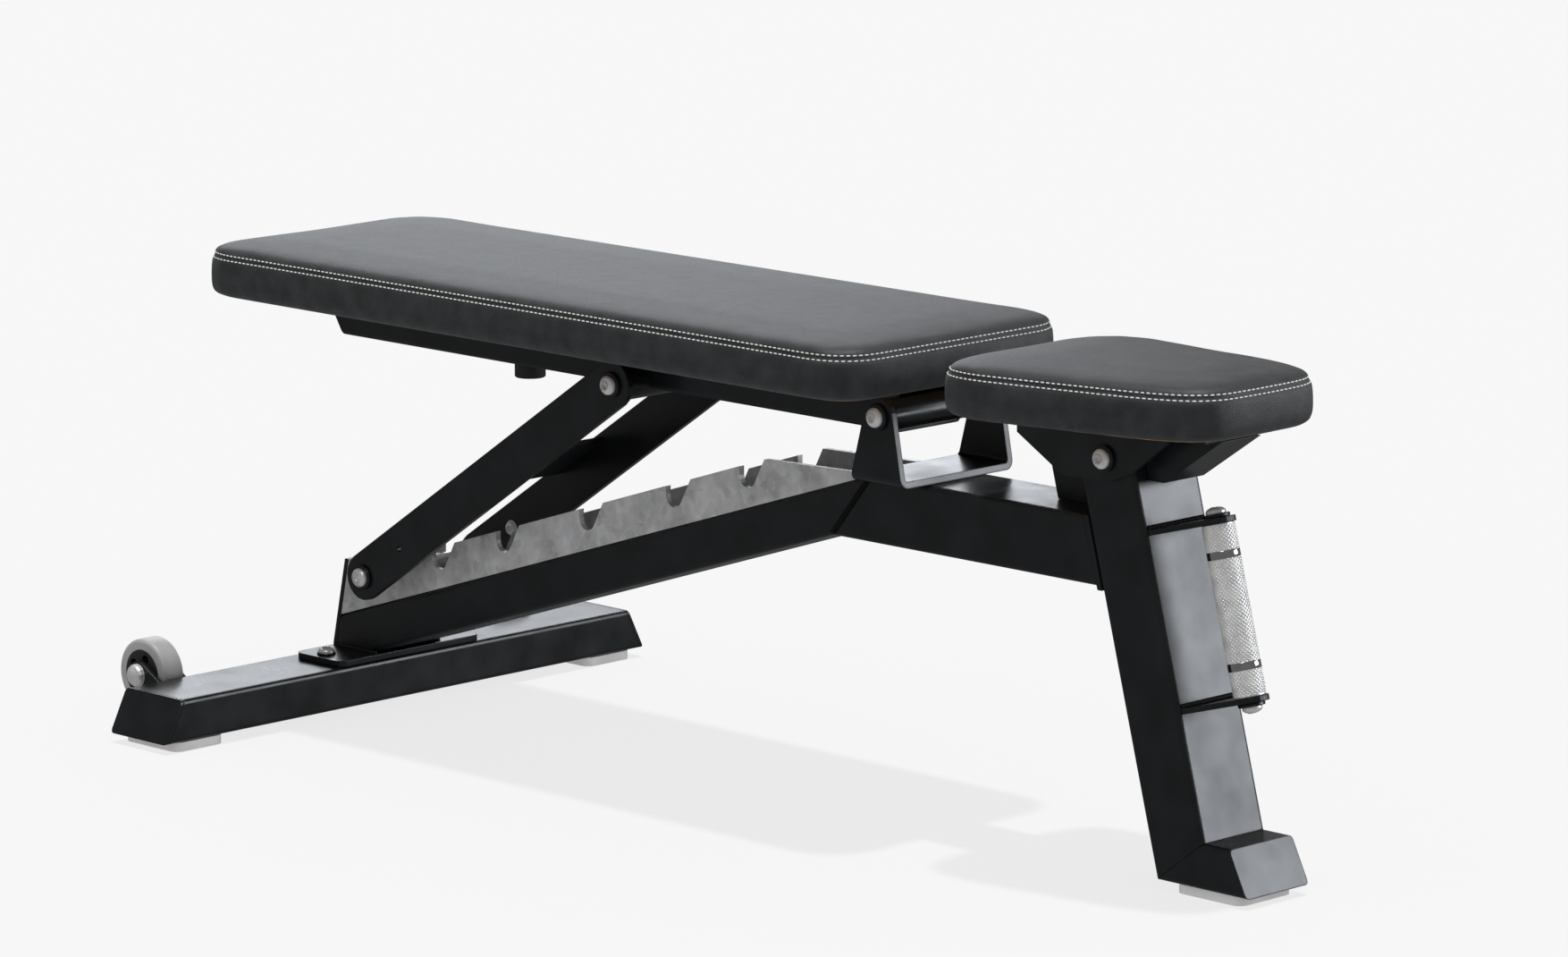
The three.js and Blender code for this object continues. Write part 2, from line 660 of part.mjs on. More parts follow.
// One notch, from its rear lip down round the rod and up its sloping front wall.
function notch(seat, wallAngle, rearHeight) {
  const radius = STRUT_ROD_RADIUS + NOTCH_CLEARANCE;
  const wall = radians(wallAngle);
  const steps = 7;
  const points = [[seat.x - radius, aboveMain(seat.x - radius, rearHeight)]];
  for (let i = 0; i <= steps; i += 1) {
    const angle = Math.PI + (Math.PI / 2 + wall) * (i / steps);
    points.push([seat.x + radius * Math.cos(angle), seat.z + radius * Math.sin(angle)]);
  }
  const [footX, footZ] = points.at(-1);
  const lipRise = aboveMain(footX, LADDER_TOOTH_HEIGHT) - footZ;
  const run = lipRise / (Math.tan(wall) - Math.tan(mainSlope));
  points.push([footX + run, footZ + run * Math.tan(wall)]);
  return points;
}

function ladderPlates() {
  const group = new THREE.Group();
  const frontX = kneeTopX - LADDER_FRONT_GAP;
  const foot = rearPlateMeets(0).x + 2 * GAP;
  const heel = rearPlateMeets(LADDER_STOP_HEIGHT);
  const outline = [
    [foot, mainTop(foot) + GAP],
    [heel.x + GAP, heel.z],
  ];
  rodSeats.forEach((seat, i) => {
    const wallAngle = i === 0 ? FIRST_NOTCH_WALL_ANGLE : NOTCH_WALL_ANGLE;
    const rearHeight = i === 0 ? LADDER_STOP_HEIGHT : LADDER_TOOTH_HEIGHT;
    outline.push(...notch(seat, wallAngle, rearHeight));
  });
  outline.push([frontX, frontTubeTop + LADDER_NOSE_RISE]);
  outline.push([frontX, mainTop(frontX) + GAP]);
  for (const [label, side] of SIDES) {
    const [from, to] = span(side, HALF_TUBE - LADDER_THICKNESS, HALF_TUBE);
    group.add(piece(`ladder_plate_${label}`, sidePrism([...outline].reverse(), from, to), zincPlate));
  }
  return group;
}

// ---------------------------------------------------------------------------------------------
// Back hinge bracket
// ---------------------------------------------------------------------------------------------

function backHinge() {
  const group = new THREE.Group();
  const base = frontTubeTop + GAP;
  const half = HINGE_WIDTH / 2;
  const top = hinge.z + HINGE_EAR_RADIUS;
  const rear = hinge.x - HINGE_BASE_REAR;
  const front = hinge.x + HINGE_BASE_FRONT;
  const channel = (wall) => wrap([
    [-half + HINGE_BEND, base + HINGE_BEND, HINGE_BEND - wall],
    [half - HINGE_BEND, base + HINGE_BEND, HINGE_BEND - wall],
    [-half + wall, top + wall, 0],
    [half - wall, top + wall, 0],
  ]);
  const ear = shapeOf(wrap([[rear, base, 0], [front, base, 0], [hinge.x, hinge.z, HINGE_EAR_RADIUS]]));
  addHole(ear, hinge.x, hinge.z, M10.shank + GAP);
  const bracket = solid(frontPrism(channel(0), rear, front))
    .subtract(solid(frontPrism(channel(HINGE_PLATE), rear - GAP, front + GAP)))
    .intersect(sideCut(ear));
  group.add(piece('back_hinge_bracket', bracket, blackCoat));
  for (const [label, side] of SIDES) {
    group.add(sideBolt(`back_hinge_bolt_${label}`, M10, hinge, half, side, HINGE_PLATE + BOLT_REACH));
  }
  return group;
}

// ---------------------------------------------------------------------------------------------
// Handle on the front of the post
// ---------------------------------------------------------------------------------------------

function handle() {
  const group = new THREE.Group();
  const lean = radians(POST_LEAN);
  const angle = Math.PI / 2 + lean;
  const up = new THREE.Vector2(-Math.sin(lean), Math.cos(lean));
  const out = new THREE.Vector2(Math.cos(lean), Math.sin(lean));
  // The point of the post's face behind the lower end of the bar.
  const faceZ = HANDLE_BOTTOM - HANDLE_OFFSET * out.y;
  const foot = new THREE.Vector2(postFrontX(faceZ), faceZ);
  const along = (distance) => {
    const point = foot.clone().addScaledVector(up, distance);
    return { x: point.x, z: point.y };
  };
  const bar = shapeOf(wrap([[0, -HANDLE_OFFSET, HANDLE_RADIUS]]));
  addHole(bar, 0, -HANDLE_OFFSET, HANDLE_BORE);
  group.add(piece('handle_bar', slantPrism(bar, along(0), angle, HANDLE_LENGTH), brightSteel));

  const plates = [
    ['lower', -GAP - HANDLE_PLATE, -1],
    ['upper', HANDLE_LENGTH + GAP, 1],
  ];
  for (const [label, distance, outward] of plates) {
    const plate = shapeOf(wrap([
      [-HANDLE_PLATE_BASE / 2, -GAP, 0],
      [HANDLE_PLATE_BASE / 2, -GAP, 0],
      [0, -HANDLE_OFFSET, HANDLE_PLATE_TIP],
    ]));
    addHole(plate, 0, -HANDLE_OFFSET, HANDLE_BORE);
    group.add(piece(`handle_bracket_${label}`, slantPrism(plate, along(distance), angle, HANDLE_PLATE),
      blackCoat));

    const bolt = piece(`handle_bolt_${label}`, buttonBolt(M10, HANDLE_PLATE + BOLT_REACH), brightSteel);
    const face = distance + (outward > 0 ? HANDLE_PLATE + GAP : -GAP);
    const seat = along(face);
    const direction = new THREE.Vector3(up.x, 0, up.y).multiplyScalar(outward);
    bolt.quaternion.setFromUnitVectors(new THREE.Vector3(0, 1, 0), direction);
    bolt.position.set(seat.x + out.x * HANDLE_OFFSET, 0, seat.z + out.y * HANDLE_OFFSET);
    group.add(bolt);
  }
  return group;
}

// ---------------------------------------------------------------------------------------------
// Transport wheels
// ---------------------------------------------------------------------------------------------

function wheelArms() {
  const group = new THREE.Group();
  const inner = WHEEL_WIDTH / 2 + WHEEL_SIDE_GAP;
  const outer = inner + WHEEL_ARM_THICKNESS;
  const centre = (CROSSBAR_HEIGHT + GAP) / 2;
  for (const [label, side] of SIDES) {
    for (const [place, direction] of [['outer', side], ['inner', -side]]) {
      const arm = shapeOf(wrap([
        [-GAP, centre - WHEEL_ARM_BASE / 2, 0],
        [-GAP, centre + WHEEL_ARM_BASE / 2, 0],
        [WHEEL_X, WHEEL_Z, WHEEL_ARM_EYE],
      ]));
      addHole(arm, WHEEL_X, WHEEL_Z, AXLE.shank + GAP);
      const [from, to] = span(direction, inner, outer);
      const plate = piece(`wheel_arm_${label}_${place}`, sidePrism(arm, from, to), blackCoat);
      plate.position.y = side * wheelY;
      group.add(plate);
    }
    // The axle is a domed bolt with its nut on the inner arm.
    const grip = 2 * outer + 2 * GAP;
    const nut = solid(sidePrism(polygon(6, NUT_RADIUS), -grip - NUT_HEIGHT, -grip));
    const bolt = solid(buttonBolt(AXLE, grip + NUT_HEIGHT));
    const axle = piece(`wheel_axle_${label}`, bolt.add(nut), brightSteel);
    axle.rotation.x = side > 0 ? 0 : Math.PI;
    axle.position.set(WHEEL_X, side * (wheelY + outer + GAP), WHEEL_Z);
    group.add(axle);
  }
  return group;
}

function wheel(label, side) {
  const group = new THREE.Group();
  const half = WHEEL_WIDTH / 2;
  const seat = HUB_RADIUS + GAP;
  const crownSteps = 6;
  const crown = Array.from({ length: crownSteps + 1 }, (_, i) => {
    const angle = -Math.PI / 2 + (Math.PI * i) / crownSteps;
    return new THREE.Vector2(
      WHEEL_RADIUS - TYRE_SHOULDER * (1 - Math.cos(angle)),
      half * Math.sin(angle),
    );
  });
  const profile = [new THREE.Vector2(seat, -half), ...crown, new THREE.Vector2(seat, half),
    new THREE.Vector2(seat, -half)];
  group.add(piece(`wheel_tyre_${label}`, new THREE.LatheGeometry(profile, WHEEL_STEPS), clearRubber));

  const disc = shapeOf(polygon(WHEEL_STEPS, HUB_RADIUS));
  addHole(disc, 0, 0, AXLE.shank + RUN);
  for (let i = 0; i < HUB_WINDOWS; i += 1) {
    const angle = (2 * Math.PI * i) / HUB_WINDOWS;
    addHole(disc, HUB_WINDOW_RING * Math.cos(angle), HUB_WINDOW_RING * Math.sin(angle),
      HUB_WINDOW_RADIUS, CORNER_STEPS);
  }
  group.add(piece(`wheel_hub_${label}`, sidePrism(disc, -half, half), blackPlastic));
  group.position.set(WHEEL_X, side * wheelY, WHEEL_Z);
  return group;
}

// ---------------------------------------------------------------------------------------------
// Back rest
// ---------------------------------------------------------------------------------------------

// A pad with softened edges and the recess that holds its board, and that board.
function padAndBoard(name, outline, boardOutline, bottom) {
  const cushion = new THREE.ExtrudeGeometry(asShape(outline), {
    depth: PAD_HEIGHT - 2 * PAD_EDGE,
    bevelThickness: PAD_EDGE,
    bevelSize: PAD_EDGE,
    bevelOffset: -PAD_EDGE,
    bevelSegments: 2,
  }).translate(0, 0, bottom + PAD_EDGE);
  const recess = flatPrism(boardOutline(0), bottom - GAP, bottom + BOARD_THICKNESS);
  const board = flatPrism(boardOutline(GAP), bottom, bottom + BOARD_THICKNESS - GAP);
  return [
    piece(`${name}_pad`, solid(cushion).subtract(solid(recess)), leatherette),
    piece(`${name}_board`, board, plywood),
  ];
}

function backRest() {
  const group = new THREE.Group();
  const outline = (margin) => roundedBox(
    BACK_PAD_REAR + margin,
    -BACK_PAD_HALF_WIDTH + margin,
    BACK_PAD_FRONT - margin,
    BACK_PAD_HALF_WIDTH - margin,
    BACK_PAD_CORNER - margin,
  );
  group.add(...padAndBoard('back', outline(0), (clearance) => outline(BOARD_INSET + clearance), padBottom));

  // The beam is closed by its slanted rear end and coped round the hinge tube at the front.
  const beamOutline = (ahead) => [
    [BEAM_REAR + BEAM_REAR_SLANT, beamBottom],
    [hinge.x - BEAM_FRONT_SETBACK + ahead, beamBottom],
    [hinge.x - BEAM_FRONT_SETBACK + ahead, beamTop],
    [BEAM_REAR, beamTop],
  ];
  const section = boxTube(BEAM_WIDTH, BEAM_HEIGHT, 0);
  const bar = solid(slantPrism(section, { x: BEAM_REAR, z: beamBottom }, 0, hinge.x - BEAM_REAR));
  const hollow = inset(beamOutline(OPEN_END), TUBE_WALL);
  const beam = bar
    .intersect(sideCut(beamOutline(0)))
    .subtract(solid(sidePrism(hollow, -BEAM_WIDTH / 2 + TUBE_WALL, BEAM_WIDTH / 2 - TUBE_WALL)))
    .subtract(solid(crossBar(hinge, HINGE_TUBE_RADIUS + GAP, 2 * BEAM_WIDTH)))
    .subtract(solid(crossBar(strutPivot, STRUT_TUBE_RADIUS + GAP, 2 * BEAM_WIDTH)));
  group.add(piece('back_beam', beam, blackCoat));

  const hingeLength = HINGE_WIDTH - 2 * HINGE_PLATE - 2 * GAP;
  group.add(piece('back_hinge_tube', crossBar(hinge, HINGE_TUBE_RADIUS, hingeLength, M10.shank + RUN),
    blackCoat));
  group.add(piece('strut_pivot_tube',
    crossBar(strutPivot, STRUT_TUBE_RADIUS, 2 * (strutInner - GAP), M10.shank + RUN), blackCoat));

  const bumper = piece('back_bumper', new THREE.LatheGeometry([
    new THREE.Vector2(0, 0),
    new THREE.Vector2(BUMPER_RADIUS - 1, 0),
    new THREE.Vector2(BUMPER_RADIUS, 1),
    new THREE.Vector2(BUMPER_RADIUS, BUMPER_HEIGHT),
    new THREE.Vector2(0, BUMPER_HEIGHT),
  ], CIRCLE_STEPS), blackRubber);
  bumper.rotation.x = Math.PI / 2;
  bumper.position.set(BUMPER_X, 0, beamBottom - GAP - BUMPER_HEIGHT);
  group.add(bumper);
  return group;
}

// ---------------------------------------------------------------------------------------------
// Strut
// ---------------------------------------------------------------------------------------------

function strut() {
  const group = new THREE.Group();
  const outline = shapeOf(wrap([
    [strutRod.x, strutRod.z, STRUT_END_RADIUS],
    [strutPivot.x, strutPivot.z, STRUT_END_RADIUS],
  ]));
  const along = new THREE.Vector2(Math.cos(strutAngle), Math.sin(strutAngle));
  addHole(outline, strutRod.x, strutRod.z, M10.shank + GAP);
  addHole(outline, strutPivot.x, strutPivot.z, M10.shank + GAP);
  addHole(outline, strutRod.x + along.x * STRUT_HOLE_ALONG, strutRod.z + along.y * STRUT_HOLE_ALONG,
    STRUT_HOLE_RADIUS, 12);
  const outer = STRUT_OUTER_WIDTH / 2;
  for (const [label, side] of SIDES) {
    const [from, to] = span(side, strutInner, outer);
    const reach = STRUT_THICKNESS + BOLT_REACH;
    group.add(piece(`strut_plate_${label}`, sidePrism(outline, from, to), blackCoat));
    group.add(sideBolt(`strut_pivot_bolt_${label}`, M10, strutPivot, outer, side, reach));
    group.add(sideBolt(`strut_rod_bolt_${label}`, M10, strutRod, outer, side, reach));
  }
  const rodLength = 2 * (strutInner - GAP);
  group.add(piece('strut_rod', crossBar(strutRod, STRUT_ROD_RADIUS, rodLength, M10.shank + RUN),
    brightSteel));

  const half = strutInner - GAP;
  const section = [[-half, 0], [half, 0], [half, CROSS_PLATE_THICKNESS], [-half, CROSS_PLATE_THICKNESS]];
  const start = {
    x: strutRod.x + along.x * CROSS_PLATE_ALONG - along.y * CROSS_PLATE_OFFSET,
    z: strutRod.z + along.y * CROSS_PLATE_ALONG + along.x * CROSS_PLATE_OFFSET,
  };
  group.add(piece('strut_cross_plate', slantPrism(section, start, strutAngle, CROSS_PLATE_LENGTH),
    blackCoat));
  return group;
}

// ---------------------------------------------------------------------------------------------
// Seat, built level and then tilted about its pivot
// ---------------------------------------------------------------------------------------------

// The seat pad's outline: a rounded rectangle that narrows towards its front.
function seatOutline(margin) {
  return Array.from({ length: SEAT_PAD_STEPS }, (_, i) => {
    const angle = (2 * Math.PI * i) / SEAT_PAD_STEPS;
    const round = (value, size) => Math.sign(value) * size * Math.abs(value) ** (2 / SEAT_PAD_POWER);
    const x = round(Math.cos(angle), SEAT_PAD_HALF_LENGTH - margin);
    const y = round(Math.sin(angle), SEAT_PAD_HALF_WIDTH - margin);
    return [SEAT_PAD_X + x, y * (1 - (SEAT_PAD_TAPER * x) / SEAT_PAD_HALF_WIDTH)];
  });
}

function seatBracket(label, side) {
  const top = seatBaseBottom - GAP;
  const plate = shapeOf(wrap([
    [SEAT_BASE_REAR, top, 0],
    [SEAT_BASE_REAR, top - SEAT_BRACKET_HEEL, 0],
    [SEAT_BASE_REAR + SEAT_BRACKET_HEEL_RUN, seatPivot.z - SEAT_PIVOT_EYE + GAP, 0],
    [seatPivot.x, seatPivot.z, SEAT_PIVOT_EYE],
    [seatPivot.x + SEAT_BRACKET_CHIN.x, seatPivot.z + SEAT_BRACKET_CHIN.z, 0],
    [seatPivot.x + SEAT_BRACKET_TOE, top, 0],
  ]));
  addHole(plate, seatPivot.x, seatPivot.z, M10.shank + GAP);
  const [from, to] = span(side, seatBracketInner, seatBracketOuter);
  let bracket = solid(sidePrism(plate, from, to));
  if (side > 0) {
    // The left bracket has the clamp's lobe and its slot, concentric with the pivot.
    const angle = Math.atan2(clamp.z - seatPivot.z, clamp.x - seatPivot.x);
    const radius = Math.hypot(clamp.z - seatPivot.z, clamp.x - seatPivot.x);
    const slotDiscs = (size) => Array.from({ length: 5 }, (_, i) => {
      const turned = angle - radians(SEAT_REST_TILT) - radians(SEAT_TRAVEL) * (i / 4);
      return [seatPivot.x + radius * Math.cos(turned), seatPivot.z + radius * Math.sin(turned), size];
    });
    const lobe = wrap([[seatPivot.x, seatPivot.z, SEAT_PIVOT_EYE], ...slotDiscs(CLAMP_LOBE)]);
    bracket = bracket.add(solid(sidePrism(lobe, from, to)));
    const discs = slotDiscs(CLAMP_STUD_RADIUS + CLAMP_SLOT_CLEARANCE);
    discs.slice(1).forEach((disc, i) => {
      bracket = bracket.subtract(solid(sidePrism(wrap([discs[i], disc]), from - GAP, to + GAP)));
    });
    bracket = bracket.subtract(solid(crossBar(seatPivot, M10.shank + GAP, 4 * seatBracketOuter)));
  }
  return piece(`seat_bracket_${label}`, bracket, blackCoat);
}

function seatTube() {
  const top = seatBaseBottom - GAP;
  const bottom = seatPivot.z - SEAT_TUBE_DROP;
  const noseRun = (top - bottom) / Math.tan(radians(SEAT_TUBE_NOSE_ANGLE));
  const outline = (back) => [
    [postFrontX(bottom) + SEAT_STOP_GAP - back, bottom],
    [SEAT_TUBE_NOSE_X, bottom],
    [SEAT_TUBE_NOSE_X + noseRun, top],
    [postFrontX(top) + SEAT_STOP_GAP - back, top],
  ];
  const half = SEAT_TUBE_WIDTH / 2;
  return solid(sidePrism(outline(0), -half, half))
    .subtract(solid(sidePrism(inset(outline(OPEN_END), TUBE_WALL), -half + TUBE_WALL, half - TUBE_WALL)));
}

function seat() {
  const level = new THREE.Group();
  const boardOutline = (clearance) => seatOutline(BOARD_INSET + clearance);
  level.add(...padAndBoard('seat', seatOutline(0), boardOutline, padBottom));
  const half = seatBracketOuter;
  const base = roundedBox(SEAT_BASE_REAR, -half, SEAT_BASE_FRONT, half, TUBE_CORNER);
  level.add(piece('seat_base_plate', flatPrism(base, seatBaseBottom, padBottom - GAP), blackCoat));
  level.add(piece('seat_tube', seatTube(), blackCoat));
  for (const [label, side] of SIDES) {
    level.add(seatBracket(label, side));
    const reach = SEAT_BRACKET_THICKNESS + BOLT_REACH;
    level.add(sideBolt(`seat_hinge_bolt_${label}`, M10, seatPivot, seatBracketOuter, side, reach));
  }
  level.position.set(-seatPivot.x, 0, -seatPivot.z);
  const tilted = new THREE.Group();
  tilted.add(level);
  tilted.rotation.y = -radians(SEAT_REST_TILT);
  tilted.position.set(seatPivot.x, 0, seatPivot.z);
  return tilted;
}

// The clamp knob: a lobed grip on a stud that passes through the slot into the post.
function seatClamp() {
  const face = seatBracketOuter + GAP;
  const grip = [];
  const count = KNOB_LOBES * 6;
  for (let i = 0; i < count; i += 1) {
    const angle = (2 * Math.PI * i) / count;
    const radius = KNOB_RADIUS * (1 + 0.08 * Math.cos(KNOB_LOBES * angle));
    grip.push([radius * Math.cos(angle), radius * Math.sin(angle)]);
  }
  const stud = sidePrism(polygon(16, CLAMP_STUD_RADIUS), HALF_TUBE - 2 * TUBE_WALL, face + GAP);
  const knob = solid(sidePrism(grip, face, face + KNOB_LENGTH)).add(solid(stud));
  const mesh = piece('seat_clamp_knob', knob, blackPlastic);
  mesh.position.set(clamp.x, 0, clamp.z);
  return mesh;
}

// ---------------------------------------------------------------------------------------------
// Assembly
// ---------------------------------------------------------------------------------------------

const bench = new THREE.Group();
bench.add(rearCrossbar(), rubberFeet(), flange(), mainTubes(), ladderPlates(), backHinge());
bench.add(frontPost(), handle(), wheelArms());
for (const [label, side] of SIDES) bench.add(wheel(label, side));
bench.add(backRest(), strut(), seat(), seatClamp());
bench.position.set(-bedX, 0, FOOT_THICKNESS);

const part = new THREE.Group();
part.add(bench);

export default part;
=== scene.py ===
"""The visible model of an adjustable weight bench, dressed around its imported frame."""

import json
import logging
import math
from dataclasses import dataclass
from enum import Enum
from typing import Callable, Iterable, Sequence

import bmesh
import bpy
import numpy as np
from mathutils import Matrix, Vector
from mathutils.bvhtree import BVHTree


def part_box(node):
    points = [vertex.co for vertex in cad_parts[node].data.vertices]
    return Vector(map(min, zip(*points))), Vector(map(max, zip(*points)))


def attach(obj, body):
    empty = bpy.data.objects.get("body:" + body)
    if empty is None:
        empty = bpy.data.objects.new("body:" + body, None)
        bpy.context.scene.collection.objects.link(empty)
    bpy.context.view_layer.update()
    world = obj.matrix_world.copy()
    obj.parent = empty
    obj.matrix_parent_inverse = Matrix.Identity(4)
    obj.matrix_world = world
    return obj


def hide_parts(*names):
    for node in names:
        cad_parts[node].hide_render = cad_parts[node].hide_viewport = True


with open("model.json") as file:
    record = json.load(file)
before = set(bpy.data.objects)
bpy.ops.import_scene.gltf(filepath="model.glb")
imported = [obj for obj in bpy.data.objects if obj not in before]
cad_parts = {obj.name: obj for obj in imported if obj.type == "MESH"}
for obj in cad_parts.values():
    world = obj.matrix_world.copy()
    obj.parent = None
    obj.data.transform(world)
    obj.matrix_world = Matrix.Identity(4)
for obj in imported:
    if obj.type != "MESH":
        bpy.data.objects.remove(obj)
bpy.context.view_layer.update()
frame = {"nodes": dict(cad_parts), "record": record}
LOG = logging.getLogger("weight_bench")
POST_LEAN = math.radians(15)
GRIP_RADIUS = 0.0145
PAD_HEIGHT = 0.048
FILL_FRAMES = 20
NODE_BODY = {
    node: body
    for body, nodes in frame["record"]["behaviour"]["bodies"].items()
    for node in nodes
}

Colour = tuple[float, float, float, float]
Socket = bpy.types.NodeSocket


def grey(value: float, warmth: float = 0.0) -> Colour:
    """Gives a grey with a little warmth, as linear red, green, blue and alpha."""
    return (value * (1 + warmth), value, value * (1 - warmth), 1.0)


# ------------------------------------------------------------------------------------------
# Finishes
# ------------------------------------------------------------------------------------------


class FinishGraph:
    """A material's node tree with short calls for the nodes that the finishes share."""

    def __init__(self, name: str) -> None:
        """Starts a material that has one principled shader.

        Args:
            name: The material's name.
        """
        self.material = bpy.data.materials.new(name)
        self.material.use_nodes = True
        self.tree = self.material.node_tree
        self.tree.nodes.clear()
        self.shader = self.add("ShaderNodeBsdfPrincipled")
        output = self.add("ShaderNodeOutputMaterial")
        self.tree.links.new(self.shader.outputs["BSDF"], output.inputs["Surface"])
        self.place = self.add("ShaderNodeTexCoord").outputs["Object"]

    def add(self, kind: str, **settings: object) -> bpy.types.Node:
        """Adds one node.

        Args:
            kind: Blender's name of the node type.
            settings: Properties to set on the node.

        Returns:
            The new node.
        """
        node = self.tree.nodes.new(kind)
        for key, value in settings.items():
            setattr(node, key, value)
        return node

    def feed(self, node: bpy.types.Node, **values: object) -> bpy.types.Node:
        """Sets or links a node's inputs.

        Args:
            node: The node that receives the values.
            values: Input names, with underscores for spaces, and sockets or plain values.

        Returns:
            The same node.
        """
        for key, value in values.items():
            socket = node.inputs[key.replace("_", " ")]
            if isinstance(value, bpy.types.NodeSocket):
                self.tree.links.new(value, socket)
            else:
                socket.default_value = value
        return node

    def stretched(self, scale: Sequence[float]) -> Socket:
        """Gives object coordinates stretched along the axes."""
        node = self.feed(self.add("ShaderNodeMapping"), Vector=self.place)
        node.inputs["Scale"].default_value = scale
        return node.outputs["Vector"]

    def noise(self, scale: float, detail: float = 3.0, place: Socket | None = None) -> Socket:
        """Gives a soft noise.

        Args:
            scale: Waves in a metre.
            detail: How many finer layers are added.
            place: Coordinates to read instead of the object's own.

        Returns:
            The noise's value, about 0.2 to 0.8.
        """
        node = self.add("ShaderNodeTexNoise")
        self.feed(node, Vector=place or self.place, Scale=scale, Detail=detail)
        return node.outputs["Fac"]

    def cells(self, scale: float, feature: str = "DISTANCE_TO_EDGE") -> Socket:
        """Gives the distance inside cells of a cracked pattern."""
        node = self.add("ShaderNodeTexVoronoi", feature=feature)
        self.feed(node, Vector=self.place, Scale=scale)
        return node.outputs["Distance"]

    def ranged(self, value: Socket, start: float, end: float, low: float, high: float) -> Socket:
        """Maps a value from start..end to low..high, clamped."""
        node = self.add("ShaderNodeMapRange")
        self.feed(node, Value=value, From_Min=start, From_Max=end, To_Min=low, To_Max=high)
        return node.outputs["Result"]

    def blend(self, factor: Socket, first: Colour, second: Colour) -> Socket:
        """Mixes two colours by a factor."""
        node = self.add("ShaderNodeMix", data_type="RGBA")
        self.tree.links.new(factor, node.inputs[0])
        node.inputs[6].default_value = first
        node.inputs[7].default_value = second
        return node.outputs[2]

    def rounded_edge(self, radius: float) -> Socket:
        """Gives a normal that is rounded over the edges."""
        node = self.feed(self.add("ShaderNodeBevel", samples=4), Radius=radius)
        return node.outputs["Normal"]

    def relief(self, height: Socket, depth: float, strength: float,
               normal: Socket | None = None) -> Socket:
        """Turns a height into a bumped normal.

        Args:
            height: The height pattern, 0 to 1.
            depth: Depth in metres.
            strength: Share of the effect.
            normal: A normal to start from.

        Returns:
            The bumped normal.
        """
        node = self.add("ShaderNodeBump")
        self.feed(node, Height=height, Distance=depth, Strength=strength)
        if normal is not None:
            self.feed(node, Normal=normal)
        return node.outputs["Normal"]


@dataclass(frozen=True)
class Enamel:
    """A painted or moulded surface with a fine skin and faint scuffs."""

    name: str
    tone: float
    lift: float
    roughness: float
    skin_scale: float = 900.0
    skin_depth: float = 0.00012
    edge: float = 0.0014
    coat: float = 0.0
    specular: float = 0.5
    subsurface: float = 0.0
    warmth: float = 0.0

    def make(self) -> bpy.types.Material:
        """Builds the material."""
        graph = FinishGraph(self.name)
        haze = graph.noise(26.0, 5.0)
        skin = graph.noise(self.skin_scale, 2.0)
        cloud = graph.ranged(haze, 0.35, 0.7, 0.0, 1.0)
        colour = graph.blend(cloud, grey(self.tone, self.warmth), grey(self.lift, self.warmth))
        rough = graph.ranged(haze, 0.3, 0.7, self.roughness * 0.85, self.roughness * 1.2)
        normal = graph.relief(skin, self.skin_depth, 0.5, graph.rounded_edge(self.edge))
        graph.feed(graph.shader, Base_Color=colour, Roughness=rough, Normal=normal)
        graph.shader.inputs["Coat Weight"].default_value = self.coat
        graph.shader.inputs["Specular IOR Level"].default_value = self.specular
        if self.subsurface:
            graph.shader.inputs["Subsurface Weight"].default_value = self.subsurface
            graph.shader.inputs["Subsurface Scale"].default_value = 0.004
        return graph.material


@dataclass(frozen=True)
class Galvanised:
    """Zinc plate with spangle and cloudy patches."""

    name: str
    tone: float = 0.52
    spangle: float = 140.0

    def make(self) -> bpy.types.Material:
        """Builds the material."""
        graph = FinishGraph(self.name)
        flakes = graph.add("ShaderNodeTexVoronoi")
        graph.feed(flakes, Vector=graph.place, Scale=self.spangle)
        cloud = graph.noise(38.0, 6.0)
        patches = graph.ranged(cloud, 0.35, 0.68, 0.0, 1.0)
        base = graph.blend(patches, grey(self.tone * 0.7, -0.06), grey(self.tone, -0.06))
        tint = graph.add("ShaderNodeMix", data_type="RGBA", blend_type="OVERLAY")
        tint.inputs[0].default_value = 0.18
        graph.tree.links.new(base, tint.inputs[6])
        graph.tree.links.new(flakes.outputs["Color"], tint.inputs[7])
        plain = graph.add("ShaderNodeHueSaturation")
        graph.feed(plain, Color=tint.outputs[2], Saturation=0.12)
        normal = graph.relief(graph.noise(420.0, 3.0), 0.0002, 0.5, graph.rounded_edge(0.0008))
        rough = graph.ranged(cloud, 0.3, 0.7, 0.34, 0.55)
        graph.feed(graph.shader, Base_Color=plain.outputs["Color"], Roughness=rough, Normal=normal)
        graph.shader.inputs["Metallic"].default_value = 0.4
        return graph.material


@dataclass(frozen=True)
class Steel:
    """Plated or turned bright steel."""

    name: str
    tone: float = 0.72
    roughness: float = 0.22
    edge: float = 0.0005
    metallic: float = 0.6

    def make(self) -> bpy.types.Material:
        """Builds the material."""
        graph = FinishGraph(self.name)
        smear = graph.noise(90.0, 4.0)
        patches = graph.ranged(smear, 0.3, 0.7, 0.0, 1.0)
        colour = graph.blend(patches, grey(self.tone * 0.78), grey(self.tone, 0.015))
        rough = graph.ranged(smear, 0.3, 0.7, self.roughness * 0.7, self.roughness * 1.4)
        normal = graph.relief(graph.noise(1600.0, 2.0), 0.00005, 0.4, graph.rounded_edge(self.edge))
        graph.feed(graph.shader, Base_Color=colour, Roughness=rough, Normal=normal)
        graph.shader.inputs["Metallic"].default_value = self.metallic
        return graph.material


